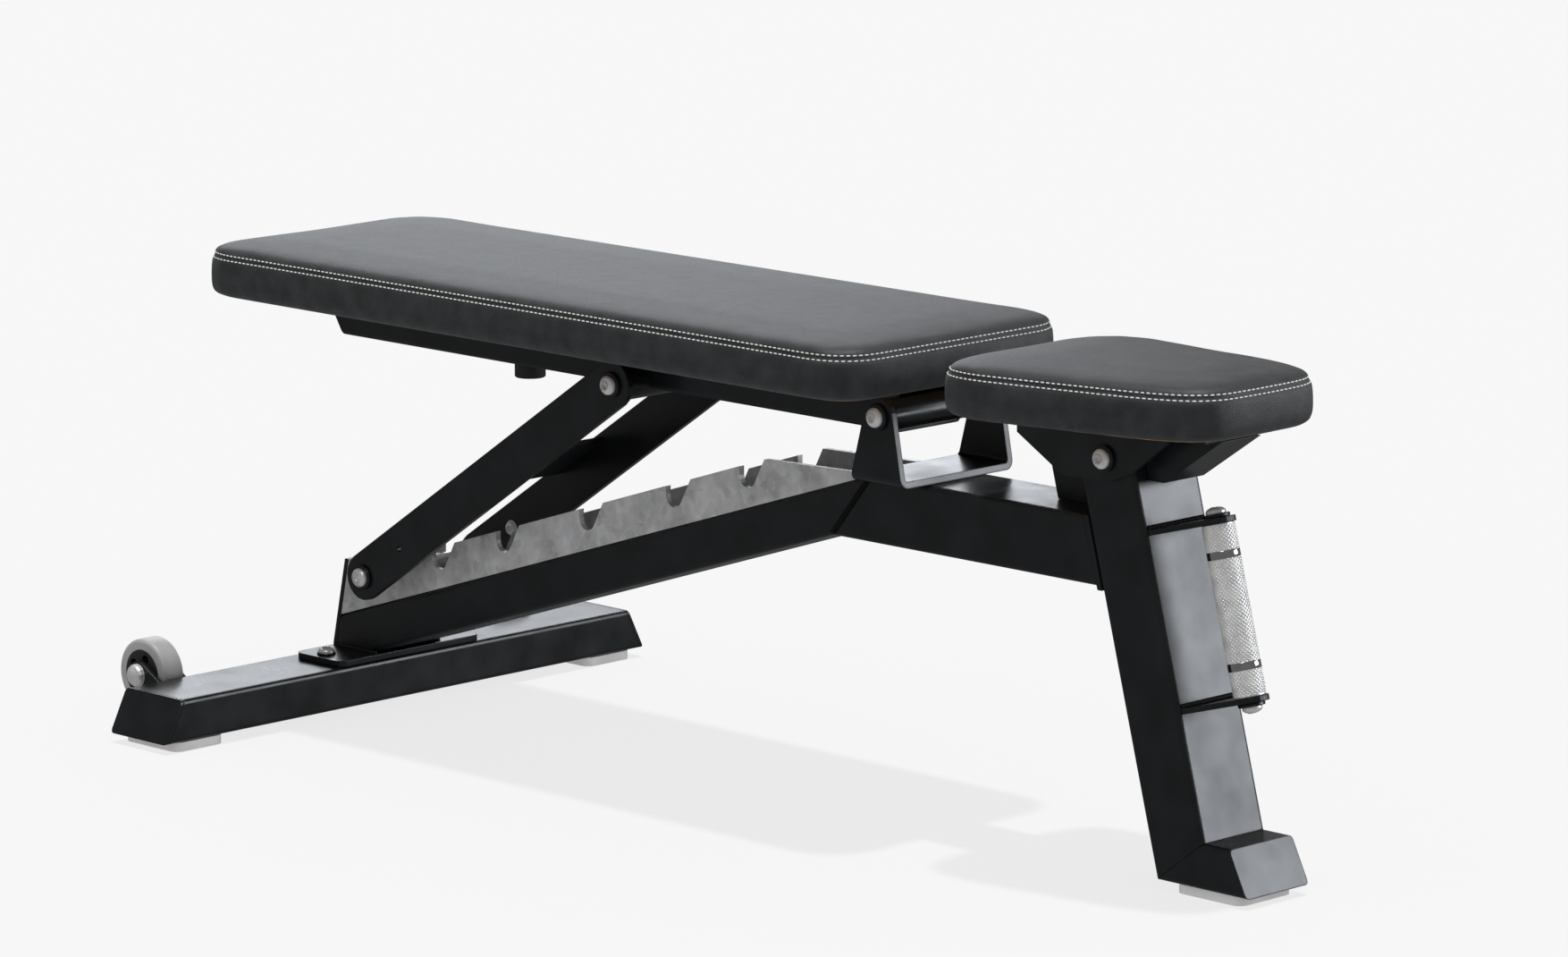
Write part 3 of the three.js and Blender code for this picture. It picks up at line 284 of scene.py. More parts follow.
@dataclass(frozen=True)
class Leatherette:
    """Black artificial leather with pebble grain and soft creases."""

    name: str
    tone: float = 0.014
    grain: float = 780.0

    def make(self) -> bpy.types.Material:
        """Builds the material."""
        graph = FinishGraph(self.name)
        pebble = graph.ranged(graph.cells(self.grain), 0.0, 0.35, 0.0, 1.0)
        crease = graph.noise(55.0, 5.0)
        patches = graph.ranged(crease, 0.35, 0.7, 0.0, 1.0)
        colour = graph.blend(patches, grey(self.tone, -0.08), grey(self.tone * 1.9, -0.08))
        soft = graph.relief(crease, 0.0012, 0.35)
        normal = graph.relief(pebble, 0.00022, 0.55, soft)
        rough = graph.ranged(pebble, 0.0, 1.0, 0.62, 0.44)
        graph.feed(graph.shader, Base_Color=colour, Roughness=rough, Normal=normal)
        graph.shader.inputs["Sheen Weight"].default_value = 0.06
        graph.shader.inputs["Specular IOR Level"].default_value = 0.45
        return graph.material


@dataclass(frozen=True)
class Plywood:
    """Birch plywood with plies along its edge."""

    name: str
    ply: float = 430.0

    def make(self) -> bpy.types.Material:
        """Builds the material."""
        graph = FinishGraph(self.name)
        grain = graph.noise(60.0, 6.0, graph.stretched((0.25, 4.0, 1.0)))
        plies = graph.add("ShaderNodeTexWave", bands_direction="Z")
        graph.feed(plies, Vector=graph.place, Scale=self.ply / math.tau, Distortion=0.3)
        value = graph.add("ShaderNodeMath", operation="MULTIPLY_ADD")
        graph.tree.links.new(plies.outputs["Fac"], value.inputs[0])
        value.inputs[1].default_value = 0.35
        graph.tree.links.new(grain, value.inputs[2])
        colour = graph.blend(value.outputs[0], (0.17, 0.1, 0.055, 1), (0.42, 0.29, 0.17, 1))
        normal = graph.relief(grain, 0.0002, 0.5)
        graph.feed(graph.shader, Base_Color=colour, Roughness=0.6, Normal=normal)
        return graph.material


@dataclass(frozen=True)
class Thread:
    """Twisted white sewing thread."""

    name: str
    tone: float = 0.72

    def make(self) -> bpy.types.Material:
        """Builds the material."""
        graph = FinishGraph(self.name)
        fibre = graph.noise(2600.0, 2.0)
        colour = graph.blend(fibre, grey(self.tone * 0.82, 0.02), grey(self.tone, 0.02))
        twist = graph.relief(fibre, 0.0001, 0.6)
        graph.feed(graph.shader, Base_Color=colour, Roughness=0.7, Normal=twist)
        return graph.material


class Finish(Enum):
    """The bench's finishes, named as the record's material slots."""

    BLACK_COAT = "black_coat"
    ZINC_PLATE = "zinc_plate"
    BRIGHT_STEEL = "bright_steel"
    LEATHERETTE = "leatherette"
    PLYWOOD = "plywood"
    FOOT_RUBBER = "foot_rubber"
    WHEEL_TREAD = "wheel_tread"
    BLACK_RUBBER = "black_rubber"
    BLACK_PLASTIC = "black_plastic"
    THREAD = "thread"


RECIPES = {
    Finish.BLACK_COAT: Enamel(
        "satin_black_coat", tone=0.005, lift=0.0088, roughness=0.3,
        skin_scale=1100.0, skin_depth=0.00008, edge=0.0016, warmth=-0.14),
    Finish.ZINC_PLATE: Galvanised("galvanised_plate", tone=0.5),
    Finish.BRIGHT_STEEL: Steel("bright_steel_finish", tone=0.86, roughness=0.3),
    Finish.LEATHERETTE: Leatherette("black_leatherette"),
    Finish.PLYWOOD: Plywood("birch_plywood"),
    Finish.FOOT_RUBBER: Enamel(
        "pale_foot_rubber", tone=0.6, lift=0.7, roughness=0.5,
        skin_scale=700.0, skin_depth=0.00015, edge=0.0012, specular=0.4, subsurface=0.15),
    Finish.WHEEL_TREAD: Enamel(
        "pale_tyre_rubber", tone=0.28, lift=0.38, roughness=0.45,
        skin_scale=700.0, skin_depth=0.00015, edge=0.0012, specular=0.4, subsurface=0.15),
    Finish.BLACK_RUBBER: Enamel(
        "black_stop_rubber", tone=0.014, lift=0.022, roughness=0.7,
        skin_scale=600.0, skin_depth=0.0002, edge=0.0012),
    Finish.BLACK_PLASTIC: Enamel(
        "black_moulded_plastic", tone=0.012, lift=0.018, roughness=0.4,
        skin_scale=1200.0, skin_depth=0.0001, edge=0.0008),
    Finish.THREAD: Thread("white_thread"),
}


class FinishShelf:
    """Makes each finish once and dresses pieces and CAD nodes with it."""

    def __init__(self) -> None:
        """Makes every finish."""
        self.materials = {finish: recipe.make() for finish, recipe in RECIPES.items()}

    def __getitem__(self, finish: Finish) -> bpy.types.Material:
        """Gives the material of a finish."""
        return self.materials[finish]

    def dress_frame(self) -> None:
        """Gives every CAD node the finish that its material slot names."""
        for node, thing in frame["nodes"].items():
            for slot in thing.material_slots:
                finish = Finish(slot.material.name.split(".")[0])
                slot.material = self[finish]
            LOG.info("dressed %s", node)


# ------------------------------------------------------------------------------------------
# Meshes
# ------------------------------------------------------------------------------------------


def piece_from(name: str, points: Iterable[Sequence[float]], faces: Iterable[Sequence[int]],
               smooth_angle: float = 40.0) -> bpy.types.Object:
    """Makes a mesh piece whose place is in its mesh, with its faces turned outwards.

    Args:
        name: The piece's name.
        points: Corner points in metres.
        faces: Corner numbers of each face.
        smooth_angle: Edges sharper than this many degrees stay sharp.

    Returns:
        The new object, linked to the scene.
    """
    mesh = bpy.data.meshes.new(name)
    mesh.from_pydata([tuple(p) for p in points], [], [tuple(f) for f in faces])
    form = bmesh.new()
    form.from_mesh(mesh)
    bmesh.ops.remove_doubles(form, verts=form.verts, dist=1e-6)
    bmesh.ops.recalc_face_normals(form, faces=form.faces)
    form.to_mesh(mesh)
    form.free()
    mesh.shade_smooth()
    mesh.set_sharp_from_angle(angle=math.radians(smooth_angle))
    thing = bpy.data.objects.new(name, mesh)
    bpy.context.collection.objects.link(thing)
    return thing


def finish_piece(thing: bpy.types.Object, body: str, finish: Finish, shelf: FinishShelf,
                 replaced: Sequence[str] = ()) -> None:
    """Dresses a piece, lets it ride on its body and hides the nodes it stands for.

    Args:
        thing: The piece.
        body: The body it rides on.
        finish: Its main finish.
        shelf: The finishes.
        replaced: CAD nodes that it stands for.
    """
    if not thing.data.materials:
        thing.data.materials.append(shelf[finish])
    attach(thing, body)
    if replaced:
        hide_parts(*replaced)
    LOG.info("built %s on %s", thing.name, body)


Ring = Callable[[float], float]
Shell = tuple[list[Vector], list[list[int]]]


def round_ring(radius: float) -> Ring:
    """Gives a circle's radius at any angle."""
    return lambda angle: radius


def hex_ring(flat: float) -> Ring:
    """Gives a hexagon's radius at any angle, from its half width across flats."""
    return lambda angle: flat / math.cos((angle % (math.pi / 3)) - math.pi / 6)


def turned(rings: Sequence[tuple[Ring, float]], steps: int, place: Matrix) -> Shell:
    """Turns a closed profile round its axis.

    Args:
        rings: Radius and height of each ring, from one pole to the other.
        steps: Corners in a ring.
        place: Where the axis goes.

    Returns:
        The points and faces of a closed shell.
    """
    points: list[Vector] = []
    faces: list[list[int]] = []
    for radius, height in rings:
        for i in range(steps):
            angle = math.tau * i / steps
            reach = radius(angle)
            points.append(place @ Vector((reach * math.cos(angle), reach * math.sin(angle), height)))
    for level in range(len(rings) - 1):
        for i in range(steps):
            near, far = level * steps + i, level * steps + (i + 1) % steps
            faces.append([near, far, far + steps, near + steps])
    faces.append(list(range(steps))[::-1])
    faces.append([(len(rings) - 1) * steps + i for i in range(steps)])
    return points, faces


def axis_place(origin: Vector, direction: Vector) -> Matrix:
    """Gives the placement that sends +Z along a direction from an origin."""
    turn = direction.to_track_quat("Z", "Y").to_matrix().to_4x4()
    return Matrix.Translation(origin) @ turn


def join_shells(shells: Sequence[Shell]) -> Shell:
    """Joins several shells into one list of points and faces."""
    points: list[Vector] = []
    faces: list[list[int]] = []
    for more_points, more_faces in shells:
        start = len(points)
        points.extend(more_points)
        faces.extend([[start + i for i in face] for face in more_faces])
    return points, faces


# ------------------------------------------------------------------------------------------
# Repeated details by Geometry Nodes
# ------------------------------------------------------------------------------------------


class DetailTree:
    """A Geometry Nodes tree with named inputs, put on an object and turned into a plain mesh."""

    def __init__(self, name: str, sizes: dict[str, float]) -> None:
        """Starts the tree.

        Args:
            name: The tree's name.
            sizes: Named number inputs and their usual values.
        """
        self.group = bpy.data.node_groups.new(name, "GeometryNodeTree")
        face = self.group.interface
        face.new_socket(name="Geometry", in_out="INPUT", socket_type="NodeSocketGeometry")
        face.new_socket(name="Geometry", in_out="OUTPUT", socket_type="NodeSocketGeometry")
        face.new_socket(name="Finish", in_out="INPUT", socket_type="NodeSocketMaterial")
        for label, value in sizes.items():
            socket = face.new_socket(name=label, in_out="INPUT", socket_type="NodeSocketFloat")
            socket.default_value = value
        self.given = self.add("NodeGroupInput")
        self.result = self.add("NodeGroupOutput")

    def add(self, kind: str, **settings: object) -> bpy.types.Node:
        """Adds a node with its settings."""
        node = self.group.nodes.new(kind)
        for key, value in settings.items():
            setattr(node, key, value)
        return node

    def link(self, source: Socket, target: Socket) -> None:
        """Links two sockets."""
        self.group.links.new(source, target)

    def maths(self, operation: str, first: Socket | float, second: Socket | float = 0.0,
              third: Socket | float = 0.0) -> Socket:
        """Adds one sum.

        Args:
            operation: Blender's name of the operation.
            first: First operand.
            second: Second operand.
            third: Third operand.

        Returns:
            The result.
        """
        node = self.add("ShaderNodeMath", operation=operation)
        for socket, value in zip(node.inputs, (first, second, third)):
            if isinstance(value, bpy.types.NodeSocket):
                self.link(value, socket)
            else:
                socket.default_value = value
        return node.outputs[0]

    def close(self, geometry: Socket) -> None:
        """Ends the tree with Realize Instances and Set Material."""
        real = self.add("GeometryNodeRealizeInstances")
        dressed = self.add("GeometryNodeSetMaterial")
        self.link(geometry, real.inputs["Geometry"])
        self.link(real.outputs["Geometry"], dressed.inputs["Geometry"])
        self.link(self.given.outputs["Finish"], dressed.inputs["Material"])
        self.link(dressed.outputs["Geometry"], self.result.inputs["Geometry"])

    def run(self, name: str, source: bpy.types.Mesh, material: bpy.types.Material,
            sizes: dict[str, float]) -> bpy.types.Object:
        """Runs the tree and gives its result as a plain mesh piece.

        Args:
            name: The piece's name.
            source: The mesh that the tree starts from.
            material: The finish of the result.
            sizes: Values of the named inputs.

        Returns:
            The new object.
        """
        carrier = bpy.data.objects.new(name + "_path", source)
        bpy.context.collection.objects.link(carrier)
        modifier = carrier.modifiers.new("detail", "NODES")
        modifier.node_group = self.group
        for item in self.group.interface.items_tree:
            if item.item_type != "SOCKET" or item.in_out != "INPUT":
                continue
            if item.name == "Finish":
                modifier[item.identifier] = material
            elif item.name in sizes:
                modifier[item.identifier] = sizes[item.name]
        graph = bpy.context.evaluated_depsgraph_get()
        mesh = bpy.data.meshes.new_from_object(carrier.evaluated_get(graph))
        carrier.modifiers.remove(modifier)
        bpy.data.objects.remove(carrier)
        mesh.name = name
        if not mesh.materials:
            mesh.materials.append(material)
        mesh.shade_smooth()
        thing = bpy.data.objects.new(name, mesh)
        bpy.context.collection.objects.link(thing)
        return thing


def bead_tree() -> DetailTree:
    """Builds the tree that lays small rounded beads along a path: stitches and weld ripples."""
    tree = DetailTree("beads_on_path", {"Pitch": 0.004, "Length": 0.003, "Width": 0.001})
    curve = tree.add("GeometryNodeMeshToCurve")
    spread = tree.add("GeometryNodeCurveToPoints", mode="LENGTH")
    bead = tree.add("GeometryNodeMeshUVSphere")
    bead.inputs["Segments"].default_value = 8
    bead.inputs["Rings"].default_value = 5
    bead.inputs["Radius"].default_value = 0.5
    size = tree.add("ShaderNodeCombineXYZ")
    shaped = tree.add("GeometryNodeTransform")
    placed = tree.add("GeometryNodeInstanceOnPoints")
    tree.link(tree.given.outputs["Geometry"], curve.inputs["Mesh"])
    tree.link(curve.outputs["Curve"], spread.inputs["Curve"])
    tree.link(tree.given.outputs["Pitch"], spread.inputs["Length"])
    tree.link(tree.given.outputs["Width"], size.inputs["X"])
    tree.link(tree.given.outputs["Width"], size.inputs["Y"])
    tree.link(tree.given.outputs["Length"], size.inputs["Z"])
    tree.link(bead.outputs["Mesh"], shaped.inputs["Geometry"])
    tree.link(size.outputs["Vector"], shaped.inputs["Scale"])
    tree.link(spread.outputs["Points"], placed.inputs["Points"])
    tree.link(spread.outputs["Rotation"], placed.inputs["Rotation"])
    tree.link(shaped.outputs["Geometry"], placed.inputs["Instance"])
    tree.close(placed.outputs["Instances"])
    return tree


def knurl_tree() -> DetailTree:
    """Builds the tree that cuts a diamond knurl into a round bar standing on the origin."""
    tree = DetailTree("knurled_bar", {
        "Radius": GRIP_RADIUS, "Length": 0.15, "Depth": 0.0005,
        "Starts": 24.0, "Pitch": 0.0038, "Plain End": 0.0015,
        "Band Place": 0.0262, "Band Width": 0.0068,
    })
    given = tree.given.outputs
    bar = tree.add("GeometryNodeMeshCylinder", fill_type="NGON")
    bar.inputs["Vertices"].default_value = 192
    bar.inputs["Side Segments"].default_value = 400
    tree.link(given["Radius"], bar.inputs["Radius"])
    tree.link(given["Length"], bar.inputs["Depth"])
    where = tree.add("GeometryNodeInputPosition")
    apart = tree.add("ShaderNodeSeparateXYZ")
    tree.link(where.outputs[0], apart.inputs[0])
    x, y, z = apart.outputs
    around = tree.maths("MULTIPLY", tree.maths("ARCTAN2", y, x), given["Starts"])
    along = tree.maths("MULTIPLY", tree.maths("DIVIDE", z, given["Pitch"]), math.tau)
    one = tree.maths("COSINE", tree.maths("ADD", around, along))
    other = tree.maths("COSINE", tree.maths("SUBTRACT", around, along))
    ridge = tree.maths("MINIMUM", one, other)
    half = tree.maths("MULTIPLY", given["Length"], 0.5)
    height = tree.maths("ABSOLUTE", z)
    inside = tree.maths("LESS_THAN", height, tree.maths("SUBTRACT", half, given["Plain End"]))
    band = tree.maths("SUBTRACT", height, tree.maths("SUBTRACT", half, given["Band Place"]))
    band_half = tree.maths("MULTIPLY", given["Band Width"], 0.5)
    beyond = tree.maths("GREATER_THAN", tree.maths("ABSOLUTE", band), band_half)
    cut = tree.maths("MULTIPLY", inside, beyond)
    lift = tree.maths("MULTIPLY", tree.maths("MULTIPLY", ridge, cut), given["Depth"])
    share = tree.maths("DIVIDE", lift, given["Radius"])
    offset = tree.add("ShaderNodeCombineXYZ")
    tree.link(tree.maths("MULTIPLY", x, share), offset.inputs["X"])
    tree.link(tree.maths("MULTIPLY", y, share), offset.inputs["Y"])
    moved = tree.add("GeometryNodeSetPosition")
    tree.link(bar.outputs["Mesh"], moved.inputs["Geometry"])
    tree.link(offset.outputs["Vector"], moved.inputs["Offset"])
    tree.close(moved.outputs["Geometry"])
    return tree


def path_mesh(name: str, paths: Sequence[Sequence[Vector]], closed: bool = False) -> bpy.types.Mesh:
    """Makes a mesh of loose edges from one or more paths.

    Args:
        name: The mesh's name.
        paths: Points of each path.
        closed: Whether each path returns to its start.

    Returns:
        The mesh.
    """
    points: list[Vector] = []
    edges: list[tuple[int, int]] = []
    for path in paths:
        start = len(points)
        points.extend(path)
        edges.extend((start + i, start + i + 1) for i in range(len(path) - 1))
        if closed:
            edges.append((start + len(path) - 1, start))
    mesh = bpy.data.meshes.new(name)
    mesh.from_pydata([tuple(p) for p in points], edges, [])
    return mesh


# ------------------------------------------------------------------------------------------
# Cushions
# ------------------------------------------------------------------------------------------


@dataclass
class Cushion:
    """A padded board: a sewn leatherette cover over foam, with two rows of white stitches."""

    name: str
    node: str
    body: str
    outline: Callable[[float, float], tuple[float, float]]
    start_inset: float = 0.001
    crown: float = 0.0035
    tilt: float = 0.0
    pivot: tuple[float, float] = (0.0, 0.0)
    voxel: float = 0.0052
    pressure: float = 2.0
    cap: float = 0.001
    evening: int = 14
    seam_drop: float = 0.0068
    seam_depth: float = 0.0013
    seam_width: float = 0.0026
    row_gap: float = 0.0045
    stitch_pitch: float = 0.0056
    stitch_length: float = 0.0041
    stitch_width: float = 0.0013
    outline_steps: int = 240
    low: float = 0.0
    high: float = 0.0

    def measure(self) -> None:
        """Reads the level underside that both cushions share, and sets the height."""
        self.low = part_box("back_pad")[0].z
        self.high = self.low + PAD_HEIGHT

    def turn(self) -> Matrix:
        """Gives the tilt of the cushion about its pivot."""
        centre = Vector((self.pivot[0], 0, self.pivot[1]))
        tilted = Matrix.Rotation(-self.tilt, 4, "Y")
        return Matrix.Translation(centre) @ tilted @ Matrix.Translation(-centre)

    def ring(self, inset: float, z: float) -> list[Vector]:
        """Gives one level ring of the cover."""
        return [Vector((*self.outline(math.tau * i / self.outline_steps, inset), z))
                for i in range(self.outline_steps)]

    def cover(self) -> bpy.types.Object:
        """Makes the cut cover, a little smaller than the sewn cushion."""
        s, n = self.start_inset, self.outline_steps
        top = self.high - 0.001
        # Inset and height of each ring: underside, wall, rounded edge, crowned top.
        levels = [
            (0.006, self.low), (s, self.low + 0.003),
            (s * 0.5, self.low + 0.022), (s, top - 0.011),
            (s + 0.0015, top - 0.004), (s + 0.0055, top),
            (0.03, top + self.crown * 0.4), (0.07, top + self.crown),
        ]
        points = [p for inset, z in levels for p in self.ring(inset, z)]
        faces = [[k * n + i, k * n + (i + 1) % n, (k + 1) * n + (i + 1) % n, (k + 1) * n + i]
                 for k in range(len(levels) - 1) for i in range(n)]
        faces += [list(range(n))[::-1], [(len(levels) - 1) * n + i for i in range(n)]]
        return piece_from(self.name, points, faces)

    def blow(self, thing: bpy.types.Object) -> None:
        """Fills the cover by cloth simulation, then caps how far any point has moved.

        Args:
            thing: The cut cover.
        """
        remesh = thing.modifiers.new("remesh", "REMESH")
        remesh.mode = "VOXEL"
        remesh.voxel_size = self.voxel
        apply_all(thing)
        rest = read_points(thing.data)
        held = thing.vertex_groups.new(name="board")
        held.add([int(i) for i in np.where(rest[:, 2] < self.low + 0.004)[0]], 1.0, "REPLACE")
        cloth = thing.modifiers.new("fill", "CLOTH")
        cloth.settings.quality = 5
        cloth.settings.mass = 0.3
        cloth.settings.vertex_group_mass = "board"
        cloth.settings.use_pressure = True
        cloth.settings.uniform_pressure_force = self.pressure
        cloth.settings.effector_weights.gravity = 0.0
        cloth.settings.tension_stiffness = 60
        cloth.settings.compression_stiffness = 60
        cloth.point_cache.frame_start = 1
        cloth.point_cache.frame_end = FILL_FRAMES
        for step in range(1, FILL_FRAMES + 1):
            bpy.context.scene.frame_set(step)
        apply_all(thing)
        bpy.context.scene.frame_set(1)
        moved = read_points(thing.data) - rest
        length = np.linalg.norm(moved, axis=1, keepdims=True)
        capped = rest + moved * np.minimum(1.0, self.cap / np.maximum(length, 1e-9))
        write_points(thing.data, capped)
        thing.vertex_groups.clear()
        even = thing.modifiers.new("even", "SMOOTH")
        even.factor = 0.5
        even.iterations = self.evening
        apply_all(thing)
        finer = thing.modifiers.new("finer", "SUBSURF")
        finer.levels = 1
        finer.render_levels = 1
        apply_all(thing)

    def sew(self, thing: bpy.types.Object) -> None:
        """Pulls the seam in between the two stitch rows, and keeps the underside flat."""
        mesh = thing.data
        points = read_points(mesh)
        normals = np.zeros(len(mesh.vertices) * 3, np.float32)
        mesh.vertices.foreach_get("normal", normals)
        normals = normals.reshape(-1, 3)
        seam = self.high - self.seam_drop - self.row_gap / 2
        upright = 1 - np.abs(normals[:, 2]) ** 2
        pull = self.seam_depth * np.exp(-((points[:, 2] - seam) / self.seam_width) ** 2) * upright
        points -= normals * pull[:, None]
        points[:, 2] = np.maximum(points[:, 2], self.low)
        write_points(mesh, points)

    def stitches(self, thing: bpy.types.Object, tree: DetailTree,
                 shelf: FinishShelf) -> bpy.types.Object:
        """Lays both rows of stitches on the finished cushion.

        Args:
            thing: The cushion, still level.
            tree: The bead tree.
            shelf: The finishes.

        Returns:
            The stitches as one piece.
        """
        surface = BVHTree.FromObject(thing, bpy.context.evaluated_depsgraph_get())
        rows = []
        for drop in (self.seam_drop, self.seam_drop + self.row_gap):
            row = []
            outer, inner = self.ring(-0.03, self.high - drop), self.ring(0.03, self.high - drop)
            for start, end in zip(outer, inner):
                hit = surface.ray_cast(start, (end - start).normalized())
                if hit[0] is not None:
                    row.append(hit[0] + hit[1] * 0.0001)
            rows.append(row)
        path = path_mesh(f"{self.name}_rows", rows, True)
        return tree.run(f"{self.name}_stitches", path, shelf[Finish.THREAD], {
            "Pitch": self.stitch_pitch, "Length": self.stitch_length, "Width": self.stitch_width})

    def build(self, tree: DetailTree, shelf: FinishShelf) -> None:
        """Makes the cushion and its stitches."""
        self.measure()
        thing = self.cover()
        self.blow(thing)
        self.sew(thing)
        stitches = self.stitches(thing, tree, shelf)
        for part in (thing, stitches):
            part.data.transform(self.turn())
            part.data.shade_smooth()
        thing.data.materials.clear()
        finish_piece(thing, self.body, Finish.LEATHERETTE, shelf, (self.node,))
        finish_piece(stitches, self.body, Finish.THREAD, shelf)


def apply_all(thing: bpy.types.Object) -> None:
    """Turns an object's evaluated mesh into its own mesh and removes its modifiers."""
    graph = bpy.context.evaluated_depsgraph_get()
    old = thing.data
    mesh = bpy.data.meshes.new_from_object(thing.evaluated_get(graph))
    mesh.name = thing.name
    thing.modifiers.clear()
    thing.data = mesh
    bpy.data.meshes.remove(old)


def read_points(mesh: bpy.types.Mesh) -> np.ndarray:
    """Gives a mesh's points as rows of three."""
    points = np.zeros(len(mesh.vertices) * 3, np.float64)
    mesh.vertices.foreach_get("co", points)
    return points.reshape(-1, 3)


def write_points(mesh: bpy.types.Mesh, points: np.ndarray) -> None:
    """Sets a mesh's points from rows of three."""
    mesh.vertices.foreach_set("co", points.astype(np.float32).ravel())
    mesh.update()


def back_outline() -> Callable[[float, float], tuple[float, float]]:
    """Gives the back cushion's outline, a long rectangle with round corners."""
    low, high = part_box("back_pad")
    middle = (low.x + high.x) / 2
    long, wide, corner = (high.x - low.x) / 2, (high.y - low.y) / 2, 0.046

    def point(angle: float, inset: float) -> tuple[float, float]:
        """Gives the outline's point at a share of the way round, moved inwards."""
        a, b, r = long - inset, wide - inset, max(corner - inset, 0.004)
        sides = [2 * (b - r), math.pi / 2 * r, 2 * (a - r), math.pi / 2 * r]
        lap = 2 * sum(sides)
        way = (angle / math.tau % 1.0) * lap
        centres = [(a - r, -(b - r)), (a - r, b - r), (-(a - r), b - r), (-(a - r), -(b - r))]
        for quarter in range(4):
            side, arc = sides[(2 * quarter) % 4], sides[(2 * quarter + 1) % 4]
            out = Vector((math.cos(quarter * math.pi / 2), math.sin(quarter * math.pi / 2)))
            along = Vector((-out.y, out.x))
            start = Vector(centres[quarter]) + out * r
            if way <= side:
                spot = start + along * way
                return middle + spot.x, spot.y
            way -= side
            if way <= arc:
                centre = Vector(centres[quarter]) + along * side
                turn = quarter * math.pi / 2 + way / r
                return middle + centre.x + r * math.cos(turn), centre.y + r * math.sin(turn)
            way -= arc
        return middle + a, -(b - r)

    return point


def seat_outline() -> Callable[[float, float], tuple[float, float]]:
    """Gives the seat cushion's outline, a squared oval that narrows to the front."""
    middle, long, wide, taper, power = 0.4559, 0.1475, 0.107, 0.14, 4.8

    def point(angle: float, inset: float) -> tuple[float, float]:
        """Gives the outline's point at an angle, moved inwards."""
        across, up = math.cos(angle), math.sin(angle)
        x = math.copysign((long - inset) * abs(across) ** (2 / power), across)
        y = math.copysign((wide - inset) * abs(up) ** (2 / power), up)
        return middle + x, y * (1 - taper * x / wide)

    return point


# ------------------------------------------------------------------------------------------
# Hardware
# ------------------------------------------------------------------------------------------


@dataclass
class ButtonBolt:
    """A button-head bolt with a hex socket, on a black washer."""

    head: float = 0.0088
    rise: float = 0.006
    washer: float = 0.0118
    washer_height: float = 0.003
    shank: float = 0.0048
    socket: float = 0.0034
    socket_depth: float = 0.003
    steps: int = 48

    def shells(self, place: Matrix, reach: float) -> tuple[Shell, Shell]:
        """Makes the steel part and the washer.

        Args:
            place: Placement whose origin is the clamped face and +Z points out.
            reach: Length of the shank behind the face.

        Returns:
            The steel shell and the washer shell, each as points and faces.
        """
        base = self.washer_height
        top = base + self.rise
        rim = 0.3  # share of the head's height that is upright
        rings = [
            (round_ring(self.shank), -reach), (round_ring(self.shank), base),
            (round_ring(self.head * 0.97), base), (round_ring(self.head), base + 0.0005),
            (round_ring(self.head), base + self.rise * rim),
        ]
        for i in range(1, 7):
            angle = math.pi / 2 * i / 8.2
            height = base + self.rise * (rim + (1 - rim) * math.sin(angle))
            rings.append((round_ring(self.head * math.cos(angle)), height))
        rings += [
            (round_ring(self.socket * 1.32), top - 0.0001), (hex_ring(self.socket), top - 0.0003),
            (hex_ring(self.socket), top - self.socket_depth),
            (hex_ring(self.socket * 0.2), top - self.socket_depth * 1.15),
        ]
        washer = [
            (round_ring(self.washer - 0.0004), 0.0), (round_ring(self.washer), 0.0004),
            (round_ring(self.washer), base - 0.0005), (round_ring(self.washer - 0.0006), base),
        ]
        return turned(rings, self.steps, place), turned(washer, self.steps, place)


